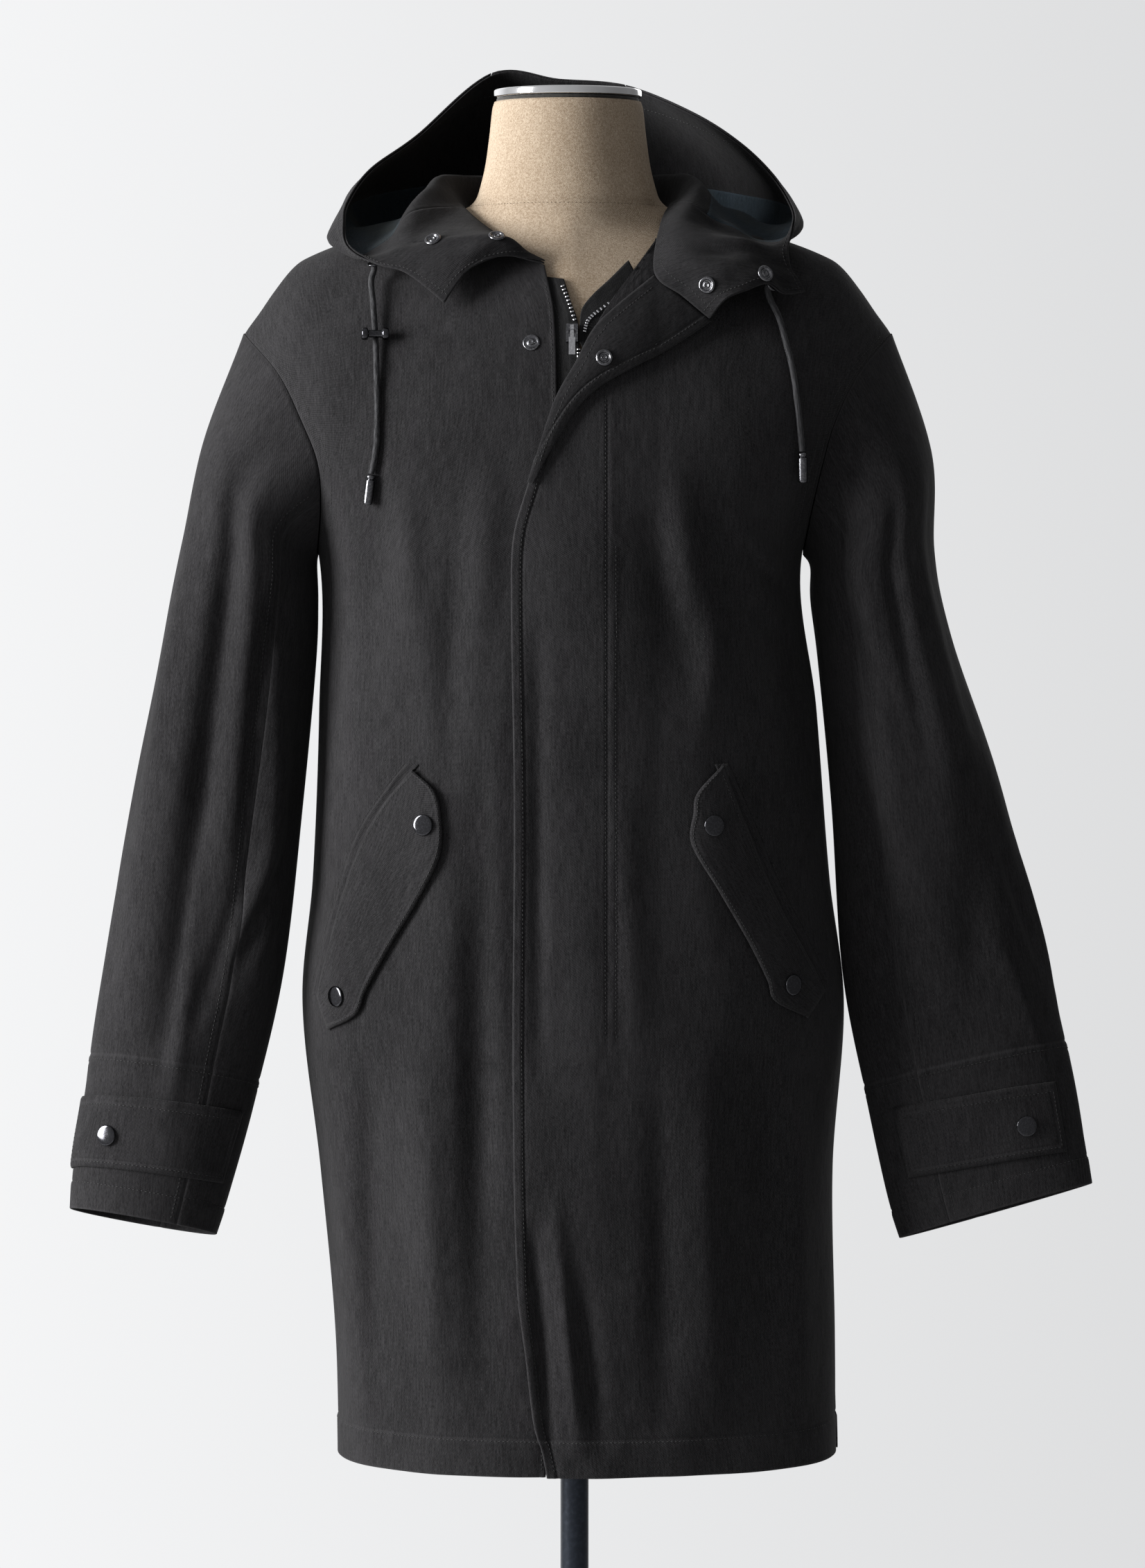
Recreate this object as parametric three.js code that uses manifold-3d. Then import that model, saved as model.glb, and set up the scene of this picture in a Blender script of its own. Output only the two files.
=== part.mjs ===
// Long hooded parka on a limbless dress form, at real size.
// Millimetres, +Z up, the coat's front faces -Y and the wearer's left is +X.
// The origin is the centre of the base's underside, on the pole's axis.
import * as THREE from 'three';
import { mergeVertices } from 'three/addons/utils/BufferGeometryUtils.js';
import Module from 'manifold-3d';

const wasm = await Module();
wasm.setup();

const V = (x, y, z) => new THREE.Vector3(x, y, z);
const clamp = (t, low, high) => Math.min(Math.max(t, low), high);
const mix = (a, b, t) => a + (b - a) * t;
const DEG = Math.PI / 180;

// Cloth
const SHELL = 1.3;            // self fabric, thickness of a sewn panel
const LINING = 1.0;           // lining and facing walls
const SEAM_GAP = 0.3;         // half of the space left between neighbours
const LAYER_GAP = 0.5;        // space between a panel and what lies on it

// Levels
const HEM_Z = 562;
const ARMPIT_Z = 1228;
const TIP_Z = 1391;
const NECK_X = -5;            // the neck stands a little to the wearer's right of the pole

// Trunk, a row for each level: half widths to the wearer's right and left, front and back depth
const TRUNK = [
  // z, right, left, front, back
  [540, 176, 195, 121, 116],
  [650, 178, 194, 126, 122],
  [775, 189, 192, 130, 129],
  [897, 202, 200, 134, 134],
  [990, 194, 189, 134, 128],
  [1115, 189, 179, 134, 119],
  [1228, 189, 168, 136, 116],
  [1300, 216, 204, 133, 117],
  [1391, 254, 248, 120, 113],
  [1500, 262, 258, 112, 108],
];
const SQUARE = 2.4;           // exponent of the trunk's rounded cross section
const SIDE_Y = 5;             // the side and shoulder seams run along this depth

// Height of the shoulder seam over the distance from the middle of the neck
const RIDGE = [
  // distance, z
  [0, 1507],
  [80, 1482],
  [120, 1471],
  [162, 1459],
  [194, 1446],
  [204, 1438],
  [217, 1421.5],
  [227, 1407],
  [238.5, 1391],
  [262, 1350],
];
const FRONT_FALL = 180;       // height over which the front rounds away from the shoulder
const BACK_FALL = 150;
const FALL_POWER = 2.2;

// Armhole edge, seen from the front
const ARMHOLE = [
  // z, wearer's right, wearer's left
  [1228, 189, 168],
  [1262, 184.5, 173],
  [1295, 186, 180],
  [1326, 198, 189],
  [1361, 216, 207],
  [1391, 243.5, 233.5],
];

// Front edges: the zipped edge of the right front, the overlapping edge of the left front
const ZIP_EDGE = [
  // z, x
  [540, -22],
  [600, -20],
  [700, -16],
  [1280, -13],
  [1400, -15],
  [1438, -22],
];
const PLACKET_EDGE = [
  // z, x
  [540, -16],
  [579, -23],
  [600, -29],
  [650, -35],
  [700, -41],
  [843, -44],
  [1050, -43],
  [1208, -45],
  [1245, -43],
  [1280, -33],
  [1310, -24],
  [1342, -13],
  [1367, 1],
  [1390, 13],
  [1405, 27],
  [1430, 57],
];
const OVERLAP_LIFT = 4.2;     // the left front lies this far out over the right one
const OVERLAP_END = 60;       // and comes down to the trunk's surface here

// Necklines, seen from the front, from the zip's top end to the shoulder seam
const NECK_RIGHT = [[-22, 1438], [-47, 1451], [-68, 1466], [-79, 1476.5], [-84, 1482]];
const NECK_LEFT = [[57, 1430], [59, 1448], [64, 1463], [70, 1475.5], [74, 1484]];
const BACK_NECK_Z = 1468;

// The largest folds, from one end to the other, as ridges (+) and troughs (-)
const FRONT_FOLDS = [
  // x0, z0, x1, z1, width, height
  [-158, 1262, -149, 1100, 13, -3],
  [-124, 1277, -112, 1150, 12, 3],
  [-90, 1130, -99, 760, 26, 5],
  [-62, 1000, -62, 600, 14, -4],
  [-140, 880, -128, 590, 20, -4],
  [58, 1245, 84, 1128, 13, -5],
  [82, 1262, 112, 1130, 16, 5],
  [62, 900, 70, 600, 22, 4],
  [118, 860, 126, 580, 20, -5],
  [160, 1180, 166, 1060, 14, -4],
];
const BACK_FOLDS = [
  [-128, 1190, -112, 900, 22, 5],
  [-52, 1000, -60, 590, 24, -5],
  [0, 1180, 4, 800, 26, 4],
  [62, 960, 70, 590, 22, -5],
  [120, 1170, 104, 860, 20, 5],
  [-128, 820, -134, 590, 20, 4],
  [132, 800, 138, 590, 20, 4],
];

// Sleeves, a row for each section from the armhole down to the cuff
const SLEEVE_RIGHT = [
  // x, y, z, half width, half depth, bank, pitch
  [-232, 4, 1266, 62, 84, 48, 2],
  [-239.5, 2, 1216, 55, 83, 25, 4],
  [-247, -1, 1160, 57, 79, 12, 6],
  [-262, -8, 1055, 62, 66, 8, 9],
  [-280, -17, 932, 66, 52, 8, 11],
  [-298, -24, 835, 62, 45, 9, 12],
  [-312, -29, 770, 58, 40, 10, 12],
  [-318.5, -31, 737, 54, 38, 10, 12],
];
const SLEEVE_LEFT = [
  [219, 4, 1262, 62, 84, 44, 2],
  [220, 2, 1213, 49, 83, 22, 4],
  [229, -1, 1160, 50, 79, 12, 6],
  [251, -8, 1055, 62, 66, 10, 9],
  [271, -17, 932, 74, 46, 11, 11],
  [292, -24, 835, 76, 32, 13, 12],
  [304, -29, 775, 75, 24, 15, 12],
  [311, -31, 745, 73, 21, 16, 12],
];
const SLEEVE_FOLDS_RIGHT = [
  // angle0, z0, angle1, z1, angular width, height
  [60, 1320, 78, 1085, 12, 4],
  [118, 1150, 108, 930, 14, -7],
  [84, 1030, 96, 815, 7, 5],
  [132, 1240, 108, 1120, 10, -5],
  [300, 1080, 250, 960, 14, -5],
];
const SLEEVE_FOLDS_LEFT = [
  [62, 1310, 60, 1060, 14, 4],
  [128, 1220, 100, 1110, 10, -5],
  [118, 1080, 92, 960, 12, 4],
  [60, 1010, 84, 880, 12, -4],
  [300, 1080, 250, 960, 14, -5],
];
const ARM_STEPS = 9;          // rows between armpit and shoulder tip, half the sleeve's columns

function sample(table, key) {
  const last = table.length - 1;
  const t0 = clamp(key, table[0][0], table[last][0]);
  let i = 0;
  while (i < last - 1 && t0 > table[i + 1][0]) i += 1;
  const [a, b] = [table[i], table[i + 1]];
  const before = table[Math.max(i - 1, 0)];
  const after = table[Math.min(i + 2, last)];
  const span = b[0] - a[0];
  const t = (t0 - a[0]) / span;
  return a.slice(1).map((_, j) => {
    const c = j + 1;
    const slopeA = (b[c] - before[c]) / (b[0] - before[0]) * span;
    const slopeB = (after[c] - a[c]) / (after[0] - a[0]) * span;
    const [t2, t3] = [t * t, t * t * t];
    return (2 * t3 - 3 * t2 + 1) * a[c] + (t3 - 2 * t2 + t) * slopeA
      + (3 * t2 - 2 * t3) * b[c] + (t3 - t2) * slopeB;
  });
}

function alongPath(path, t) {
  const table = path.map((point, i) => [i / (path.length - 1), ...point]);
  return sample(table, t);
}

function foldHeight(folds, a, b, aScale = 1) {
  let sum = 0;
  for (const [a0, b0, a1, b1, width, height] of folds) {
    const [da, db] = [(a1 - a0) * aScale, b1 - b0];
    const [pa, pb] = [(a - a0) * aScale, b - b0];
    const raw = (pa * da + pb * db) / (da * da + db * db);
    const t = clamp(raw, 0, 1);
    const across = Math.hypot(pa - da * t, pb - db * t) / (width * aScale);
    const ends = Math.sin(Math.PI * clamp(t * 0.8 + 0.1, 0, 1));
    sum += height * ends * Math.exp(-across * across);
  }
  return sum;
}

const ridgeZ = (x) => sample(RIDGE, Math.abs(x - NECK_X))[0];
const roundOff = (t, power) => Math.pow(1 - Math.pow(1 - clamp(t, 0, 1), power), 1 / power);

function trunkDepth(x, z, back) {
  const [right, left, front, rear] = sample(TRUNK, z);
  const half = x < 0 ? right : left;
  const across = Math.pow(1 - Math.pow(clamp(Math.abs(x) / half, 0, 1), SQUARE), 1 / SQUARE);
  const down = roundOff((ridgeZ(x) - z) / (back ? BACK_FALL : FRONT_FALL), FALL_POWER);
  return (back ? rear : front) * across * down;
}

// Folds fade out towards the seams, so that neighbours keep their gap
function foldFade(x, z) {
  const [right, left] = sample(TRUNK, z);
  const half = x < 0 ? right : left;
  const side = clamp((half - Math.abs(x)) / 24, 0, 1);
  const top = clamp((1330 - z) / 60, 0, 1);
  return side * top;
}

function frontPoint(x, z, lift = 0) {
  const fold = foldHeight(FRONT_FOLDS, x, z) * foldFade(x, z);
  return V(x, SIDE_Y - SEAM_GAP - trunkDepth(x, z, false) - fold - lift, z);
}

function backPoint(x, z) {
  const fold = foldHeight(BACK_FOLDS, x, z) * foldFade(x, z);
  return V(x, SIDE_Y + SEAM_GAP + trunkDepth(x, z, true) + fold, z);
}

// The overlapping front stands out over the zipped one near the middle
const overlapLift = (x) => OVERLAP_LIFT * clamp((OVERLAP_END - x) / 45, 0, 1) ** 0.8;

function armholeX(side, z) {
  const [right, left] = sample(ARMHOLE, z);
  return side < 0 ? -right : left;
}

// Angle 0 is the shoulder tip and 180 the armpit, over the front
function armholePoint(side, angle) {
  const turn = ((angle % 360) + 360) % 360;
  const z = (TIP_Z + ARMPIT_Z) / 2 + (TIP_Z - ARMPIT_Z) / 2 * Math.cos(turn * DEG);
  const x = armholeX(side, z);
  return turn <= 180 ? frontPoint(x, z) : backPoint(x, z);
}

// Closed body between two matching grids of points
function solidFrom(outer, inner, { around = false } = {}) {
  const [rows, cols] = [outer.length, outer[0].length];
  const positions = [];
  for (const grid of [outer, inner]) {
    for (const row of grid) row.forEach((p) => positions.push(p.x, p.y, p.z));
  }
  const at = (layer, r, c) => layer * rows * cols + r * cols + (c % cols);
  const faces = [];
  const quad = (a, b, c, d) => faces.push(a, b, c, a, c, d);
  const lastCol = around ? cols : cols - 1;
  for (let r = 0; r < rows - 1; r += 1) {
    for (let c = 0; c < lastCol; c += 1) {
      quad(at(0, r, c), at(0, r, c + 1), at(0, r + 1, c + 1), at(0, r + 1, c));
      // The inner face splits on the same diagonal as the outer one
      const [i0, i1, i2, i3] = [at(1, r, c), at(1, r, c + 1), at(1, r + 1, c + 1), at(1, r + 1, c)];
      faces.push(i0, i2, i1, i0, i3, i2);
    }
  }
  for (let c = 0; c < lastCol; c += 1) {
    quad(at(1, 0, c), at(1, 0, c + 1), at(0, 0, c + 1), at(0, 0, c));
    quad(at(0, rows - 1, c), at(0, rows - 1, c + 1), at(1, rows - 1, c + 1), at(1, rows - 1, c));
  }
  if (!around) {
    for (let r = 0; r < rows - 1; r += 1) {
      quad(at(0, r, 0), at(0, r + 1, 0), at(1, r + 1, 0), at(1, r, 0));
      quad(at(1, r, cols - 1), at(1, r + 1, cols - 1), at(0, r + 1, cols - 1), at(0, r, cols - 1));
    }
  }
  return facingOut(positions, faces);
}

function facingOut(positions, faces) {
  let volume = 0;
  const p = (i) => V(positions[3 * i], positions[3 * i + 1], positions[3 * i + 2]);
  for (let i = 0; i < faces.length; i += 3) {
    volume += p(faces[i]).dot(p(faces[i + 1]).cross(p(faces[i + 2])));
  }
  const index = [...faces];
  if (volume < 0) {
    for (let i = 0; i < index.length; i += 3) [index[i], index[i + 1]] = [index[i + 1], index[i]];
  }
  const geometry = new THREE.BufferGeometry();
  geometry.setAttribute('position', new THREE.Float32BufferAttribute(positions, 3));
  geometry.setIndex(index);
  return geometry;
}

// Unit normals of a grid, pointing away from the given point or axis
function gridNormals(grid, outward, around = false) {
  const [rows, cols] = [grid.length, grid[0].length];
  return grid.map((row, r) => row.map((point, c) => {
    const wrap = (k) => (around ? (k + cols) % cols : clamp(k, 0, cols - 1));
    const along = grid[Math.min(r + 1, rows - 1)][c].clone().sub(grid[Math.max(r - 1, 0)][c]);
    const across = row[wrap(c + 1)].clone().sub(row[wrap(c - 1)]);
    const normal = along.cross(across).normalize();
    return normal.dot(outward(point, r, c)) < 0 ? normal.negate() : normal;
  }));
}

function wall(grid, thickness, outward, { around = false, fix = null, lift = 0 } = {}) {
  const normals = gridNormals(grid, outward, around);
  const moved = (distance) => grid.map((row, r) => row.map((point, c) => {
    const normal = fix ? fix(normals[r][c].clone(), r, c) : normals[r][c];
    return point.clone().addScaledVector(normal, distance);
  }));
  return solidFrom(moved(lift), moved(lift - thickness), { around });
}

const across = (count) => Array.from({ length: count + 1 }, (_, i) => i / count);

const flatten = (normal, axis) => normal.addScaledVector(axis, -normal.dot(axis)).normalize();
const armholeAxis = (side) => V(side * 0.95, 0, 0.31).normalize();

// A front panel: columns run from the front edge to the side seam, rows from hem to shoulder
const LOWER_ROWS = 13;
const FRONT_COLS = 10;
const NECK_COLS = 4;

function frontGrid(side, edgeTable, neckPath, lift) {
  const half = (z) => sample(TRUNK, z)[side < 0 ? 0 : 1];
  const place = (x, z) => frontPoint(x, z, lift(x));
  const lowX = (c, z) => {
    const start = Math.asin(clamp(sample(edgeTable, z)[0] * side / half(z), -1, 1));
    return side * half(z) * Math.sin(mix(start, Math.PI / 2, c));
  };
  const grid = [];
  for (let r = 0; r < LOWER_ROWS; r += 1) {
    const z = mix(HEM_Z, ARMPIT_Z, r / LOWER_ROWS);
    grid.push(across(FRONT_COLS).map((c) => place(lowX(c, z), z)));
  }
  const [topEdge, shoulder] = [neckPath[0], neckPath[neckPath.length - 1]];
  const top = (c) => {
    const split = NECK_COLS / FRONT_COLS;
    if (c <= split) return alongPath(neckPath, c / split);
    const x = mix(shoulder[0], side < 0 ? armholeX(-1, TIP_Z) : armholeX(1, TIP_Z), (c - split) / (1 - split));
    return [x, ridgeZ(x)];
  };
  for (let r = 0; r <= ARM_STEPS; r += 1) {
    const armZ = (TIP_Z + ARMPIT_Z) / 2 - (TIP_Z - ARMPIT_Z) / 2 * Math.cos(Math.PI * r / ARM_STEPS);
    const v = (armZ - ARMPIT_Z) / (TIP_Z - ARMPIT_Z);
    grid.push(across(FRONT_COLS).map((c) => {
      const edgeZ = mix(ARMPIT_Z, topEdge[1], v);
      const edge = [sample(edgeTable, edgeZ)[0], edgeZ];
      const arm = [armholeX(side, armZ), armZ];
      const low = [lowX(c, ARMPIT_Z), ARMPIT_Z];
      const high = top(c);
      const corner = (i) => {
        const lowLine = mix([lowX(0, ARMPIT_Z), ARMPIT_Z][i], [lowX(1, ARMPIT_Z), ARMPIT_Z][i], c);
        return mix(lowLine, mix(top(0)[i], top(1)[i], c), v);
      };
      const at = (i) => mix(low[i], high[i], v) + mix(edge[i], arm[i], c) - corner(i);
      return place(at(0), Math.min(at(1), ridgeZ(at(0))));
    }));
  }
  return grid;
}

function frontFix(side, rows) {
  return (normal, r, c) => {
    if (c === FRONT_COLS && r > LOWER_ROWS && r < rows - 1) return flatten(normal, armholeAxis(side));
    if (c === FRONT_COLS) return flatten(normal, V(0, 1, 0));
    if (r === rows - 1 && c >= NECK_COLS) return flatten(normal, V(0, 1, 0));
    return normal;
  };
}

const forward = () => V(0, -1, 0.25);
const sideways = (point) => V(point.x, (point.y - SIDE_Y) * 1.3, 20);

function frontPanel(side) {
  const grid = side < 0
    ? frontGrid(-1, ZIP_EDGE, NECK_RIGHT, () => 0)
    : frontGrid(1, PLACKET_EDGE, NECK_LEFT, overlapLift);
  return wall(grid, SHELL, sideways, { fix: frontFix(side, grid.length) });
}

// The back panel, in one piece from side seam to side seam
const BACK_COLS = 20;

function backPanel() {
  const at = (c, z) => {
    const half = sample(TRUNK, z)[c < 0 ? 0 : 1];
    return half * Math.sin(c * Math.PI / 2);
  };
  const columns = across(BACK_COLS).map((t) => t * 2 - 1);
  const grid = [];
  for (let r = 0; r < LOWER_ROWS; r += 1) {
    const z = mix(HEM_Z, ARMPIT_Z, r / LOWER_ROWS);
    grid.push(columns.map((c) => backPoint(at(c, z), z)));
  }
  const neckShare = 0.4;
  const top = (c) => {
    const side = c < 0 ? -1 : 1;
    const shoulder = side < 0 ? NECK_RIGHT.at(-1) : NECK_LEFT.at(-1);
    const share = Math.abs(c);
    if (share <= neckShare) {
      const t = Math.sin(share / neckShare * Math.PI / 2);
      return [mix(NECK_X, shoulder[0], t), mix(BACK_NECK_Z, shoulder[1], t ** 3)];
    }
    const x = mix(shoulder[0], armholeX(side, TIP_Z), (share - neckShare) / (1 - neckShare));
    return [x, ridgeZ(x)];
  };
  for (let r = 0; r <= ARM_STEPS; r += 1) {
    const armZ = (TIP_Z + ARMPIT_Z) / 2 - (TIP_Z - ARMPIT_Z) / 2 * Math.cos(Math.PI * r / ARM_STEPS);
    const v = (armZ - ARMPIT_Z) / (TIP_Z - ARMPIT_Z);
    grid.push(columns.map((c) => {
      const side = c < 0 ? -1 : 1;
      const share = Math.abs(c);
      const middle = [mix(at(0, ARMPIT_Z), top(0)[0], v), mix(ARMPIT_Z, BACK_NECK_Z, v)];
      const arm = [armholeX(side, armZ), armZ];
      const [low, high] = [[at(c, ARMPIT_Z), ARMPIT_Z], top(c)];
      const lowEnds = [[at(0, ARMPIT_Z), ARMPIT_Z], [at(side, ARMPIT_Z), ARMPIT_Z]];
      const point = (i) => mix(low[i], high[i], v) + mix(middle[i], arm[i], share)
        - mix(mix(lowEnds[0][i], lowEnds[1][i], share), mix(top(0)[i], top(side)[i], share), v);
      return backPoint(point(0), Math.min(point(1), ridgeZ(point(0))));
    }));
  }
  const fix = (normal, r, c) => {
    const edge = c === 0 || c === BACK_COLS;
    const inArmhole = r > LOWER_ROWS && r < grid.length - 1;
    if (edge && inArmhole) return flatten(normal, armholeAxis(c === 0 ? -1 : 1));
    if (edge) return flatten(normal, V(0, 1, 0));
    const share = Math.abs(columns[c]);
    if (r === grid.length - 1 && share >= neckShare - 0.01) return flatten(normal, V(0, 1, 0));
    return normal;
  };
  return wall(grid, SHELL, sideways, { fix });
}

// Sleeves: angle 0 is the outer side, 90 the front, 180 the side next to the trunk
function sleeveRing(side, row, angle) {
  const [x, y, z, halfWidth, halfDepth, bank, pitch] = row;
  const out = Math.cos(angle * DEG) * halfWidth;
  const ahead = Math.sin(angle * DEG) * halfDepth;
  return V(
    x + side * out * Math.cos(bank * DEG),
    y - ahead * Math.cos(pitch * DEG),
    z + out * Math.sin(bank * DEG) + ahead * Math.sin(pitch * DEG),
  );
}

function sleevePoint(side, angle, t) {
  const rows = side < 0 ? SLEEVE_RIGHT : SLEEVE_LEFT;
  const start = armholePoint(side, angle).addScaledVector(armholeAxis(side), 3 * SEAM_GAP);
  const path = [start, ...rows.map((row) => sleeveRing(side, row, angle))];
  const last = path.length - 1;
  const u = clamp(t, 0, 1) * last;
  const i = Math.min(Math.floor(u), last - 1);
  const s = u - i;
  const [a, b] = [path[i], path[i + 1]];
  const before = i === 0 ? a.clone().addScaledVector(b.clone().sub(a), -0.6) : path[i - 1];
  const after = path[Math.min(i + 2, last)];
  const point = V(0, 0, 0);
  for (const k of ['x', 'y', 'z']) {
    const slopeA = (b[k] - before[k]) / 2;
    const slopeB = (after[k] - a[k]) / 2;
    const [s2, s3] = [s * s, s * s * s];
    point[k] = (2 * s3 - 3 * s2 + 1) * a[k] + (s3 - 2 * s2 + s) * slopeA
      + (3 * s2 - 2 * s3) * b[k] + (s3 - s2) * slopeB;
  }
  const folds = side < 0 ? SLEEVE_FOLDS_RIGHT : SLEEVE_FOLDS_LEFT;
  const turn = ((angle % 360) + 360) % 360;
  const fade = clamp(t * 6, 0, 1) * clamp((point.z - 800) / 60, 0, 1)
    * clamp((Math.abs(turn - 180) - 20) / 20, 0, 1);
  const away = point.clone().sub(sleeveCentre(side, t)).setZ(0).normalize();
  return point.addScaledVector(away, foldHeight(folds, turn, point.z, 2) * fade);
}

function sleeveCentre(side, t) {
  const rows = side < 0 ? SLEEVE_RIGHT : SLEEVE_LEFT;
  const first = V(side * (side < 0 ? 214 : 203), 4, 1309);
  const path = [first, ...rows.map(([x, y, z]) => V(x, y, z))];
  const u = clamp(t, 0, 1) * (path.length - 1);
  const i = Math.min(Math.floor(u), path.length - 2);
  return path[i].clone().lerp(path[i + 1], u - i);
}

const SLEEVE_ROWS = 17;
const SEAM_FRONT = 6;         // column of the front sleeve seam, counted from the outer side
const SEAM_REAR = 13;         // column of the rear sleeve seam

function sleevePart(side, firstCol, lastCol) {
  const step = 180 / ARM_STEPS;
  const grid = across(SLEEVE_ROWS).map((t) => {
    const row = [];
    for (let c = firstCol; c <= lastCol; c += 1) {
      const inset = c === firstCol ? 0.25 : (c === lastCol ? -0.25 : 0);
      row.push(sleevePoint(side, (c + inset / 5) * step, t));
    }
    return row;
  });
  const outward = (point, r) => point.clone().sub(sleeveCentre(side, r / SLEEVE_ROWS));
  const fix = (normal, r) => (r === 0 ? flatten(normal, armholeAxis(side)) : normal);
  return wall(grid, SHELL, outward, { fix });
}

// Hood sections, from the zip's top end on the wearer's right, round the back, to the left tip.
// seam is the place on the neckline: 0 to 1 right front, 1 to 2 back, 2 to 3 left front,
// 3 to 4 the top edge of the turned front
const HOOD = [
  // seam, crest, valley, low, wall, rim (x, y, z each)
  [0.00, [-36, -93, 1443], [-50, -97, 1444.5], [-66, -100, 1440.5], [-80, -101, 1431], [-94, -101, 1411]],
  [0.25, [-48, -92, 1457], [-62, -99, 1453], [-78, -101, 1446], [-92, -100, 1437], [-108, -96, 1423]],
  [0.50, [-78, -86, 1460], [-92, -91, 1455], [-104, -92, 1448], [-114, -91, 1441], [-124, -89, 1434]],
  [0.75, [-112, -74, 1459], [-121, -77, 1454], [-129, -79, 1449], [-137, -80.5, 1443], [-144, -79.5, 1440]],
  [0.88, [-118, -48, 1478], [-134, -50, 1459], [-149, -57, 1448], [-160, -61, 1446], [-164, -66, 1453]],
  [1.00, [-106, -14, 1498], [-124, -12, 1477], [-152, -22, 1465.5], [-178, -31, 1459], [-168, -37, 1472]],
  [1.125, [-98, 14, 1507], [-116, 36, 1475], [-144, 42, 1465.5], [-175, 18, 1472], [-166, 2, 1489]],
  [1.25, [-80, 48, 1509], [-98, 88, 1455], [-128, 104, 1444], [-166, 78, 1490], [-151, 46, 1514]],
  [1.35, [-58, 76, 1509], [-74, 120, 1425], [-104, 152, 1402], [-146, 136, 1502], [-118, 86, 1541]],
  [1.43, [-34, 87, 1509], [-46, 138, 1402], [-66, 184, 1378], [-92, 184, 1512], [-62, 116, 1590]],
  [1.50, [-5, 91, 1509], [-5, 143, 1396], [-6, 196, 1368], [-8, 200, 1512], [-12, 120, 1586]],
  [1.57, [24, 87, 1509], [36, 138, 1402], [56, 184, 1378], [78, 184, 1510], [38, 117, 1581]],
  [1.65, [46, 76, 1509], [64, 120, 1427], [94, 150, 1404], [132, 136, 1500], [88, 92, 1559]],
  [1.75, [68, 48, 1510], [86, 86, 1458], [116, 100, 1446], [154, 80, 1492], [123, 58, 1534]],
  [1.875, [84, 14, 1508], [104, 34, 1476], [132, 40, 1466], [163, 24, 1480], [147, 18, 1507]],
  [2.00, [90, -16, 1500], [110, -14, 1477], [136, -18, 1467], [164, -28, 1469], [159, -34, 1481]],
  [2.12, [84, -46, 1484], [106, -46, 1465], [128, -52, 1456], [150, -62, 1456], [158, -66, 1466]],
  [2.50, [74, -74, 1466], [94, -78, 1462], [116, -80, 1456], [138, -79, 1449], [154, -76, 1450]],
  [3.00, [76, -94, 1446], [98, -95, 1449], [120, -92, 1447], [140, -86, 1441], [156, -79, 1436]],
  [3.50, [96, -105, 1429], [115, -103, 1435], [132, -98, 1436], [147, -90, 1430], [161, -81, 1428]],
  [4.00, [108, -109, 1413], [124, -106, 1420], [139, -99, 1425], [151, -91, 1418], [166, -80, 1419.5]],
];
const CREASE_STATION = { right: 4, left: 16 };   // outside these the inner face is all self fabric
const CROWN_STATIONS = [9, 11];                  // the crown panel's two seams
const HOOD_STEPS = 2;                            // columns between two sections
const HOOD_ROWS = 10;
const STAND_ROWS = 3;                            // rows of self fabric inside the stand
const BAND_ROWS = 8;                             // the rim's facing starts at this row

// Turned part of the left front: fold line and free edge, seen from the front
const FOLD_LINE = [[-33, 1282], [-24, 1310], [-13, 1342], [1, 1367], [13, 1390], [27, 1405], [57, 1430]];
const TURNED_EDGE = [[-30, 1281], [-19, 1303], [0, 1333], [17, 1350], [41, 1364], [68, 1378], [97, 1397]];
const TURN_ROLL = 7;          // how far the fold stands out over the panel

function turnedPoint(t, w, lift = 0) {
  const [foldX, foldZ] = alongPath(FOLD_LINE, t);
  const [edgeX, edgeZ] = alongPath(TURNED_EDGE, t);
  const [x, z] = [mix(foldX, edgeX, w), mix(foldZ, edgeZ, w)];
  const open = Math.sin(Math.PI * clamp(t, 0.02, 1) * 0.55);
  const roll = TURN_ROLL * open * Math.sin(Math.PI * clamp(0.16 + w * 0.72, 0, 1)) ** 0.8;
  return frontPoint(x, z, overlapLift(x) + SHELL + LAYER_GAP + roll + lift);
}

function necklinePoint(seam) {
  const onFront = (path, t) => {
    const [x, z] = alongPath(path, t);
    return frontPoint(x, Math.min(z, ridgeZ(x)), x > 0 ? overlapLift(x) : 0);
  };
  if (seam <= 1) return onFront(NECK_RIGHT, seam);
  if (seam >= 3) return turnedPoint(1, (seam - 3) * 0.98);
  if (seam >= 2) return onFront(NECK_LEFT, 3 - seam);
  const shoulder = seam < 1.5 ? NECK_RIGHT.at(-1) : NECK_LEFT.at(-1);
  const t = Math.sin(Math.abs(seam - 1.5) * Math.PI);
  const x = mix(NECK_X, shoulder[0], t);
  return backPoint(x, Math.min(mix(BACK_NECK_Z, shoulder[1], t ** 3), ridgeZ(x)));
}

function hoodControl(station) {
  const [seam, ...points] = HOOD[station];
  const start = necklinePoint(seam);
  const toNeck = V(NECK_X - start.x, -start.y, 0).normalize();
  const inward = seam > 2 ? 1.8 : 1;
  const upward = seam > 2 ? 4.5 : 2.9;
  const lift = seam >= 3 ? V(1.1, -0.6, 2.1) : toNeck.multiplyScalar(inward).setZ(upward);
  start.add(lift);
  return [start, ...points.map(([x, y, z]) => V(x, y, z))];
}

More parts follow.
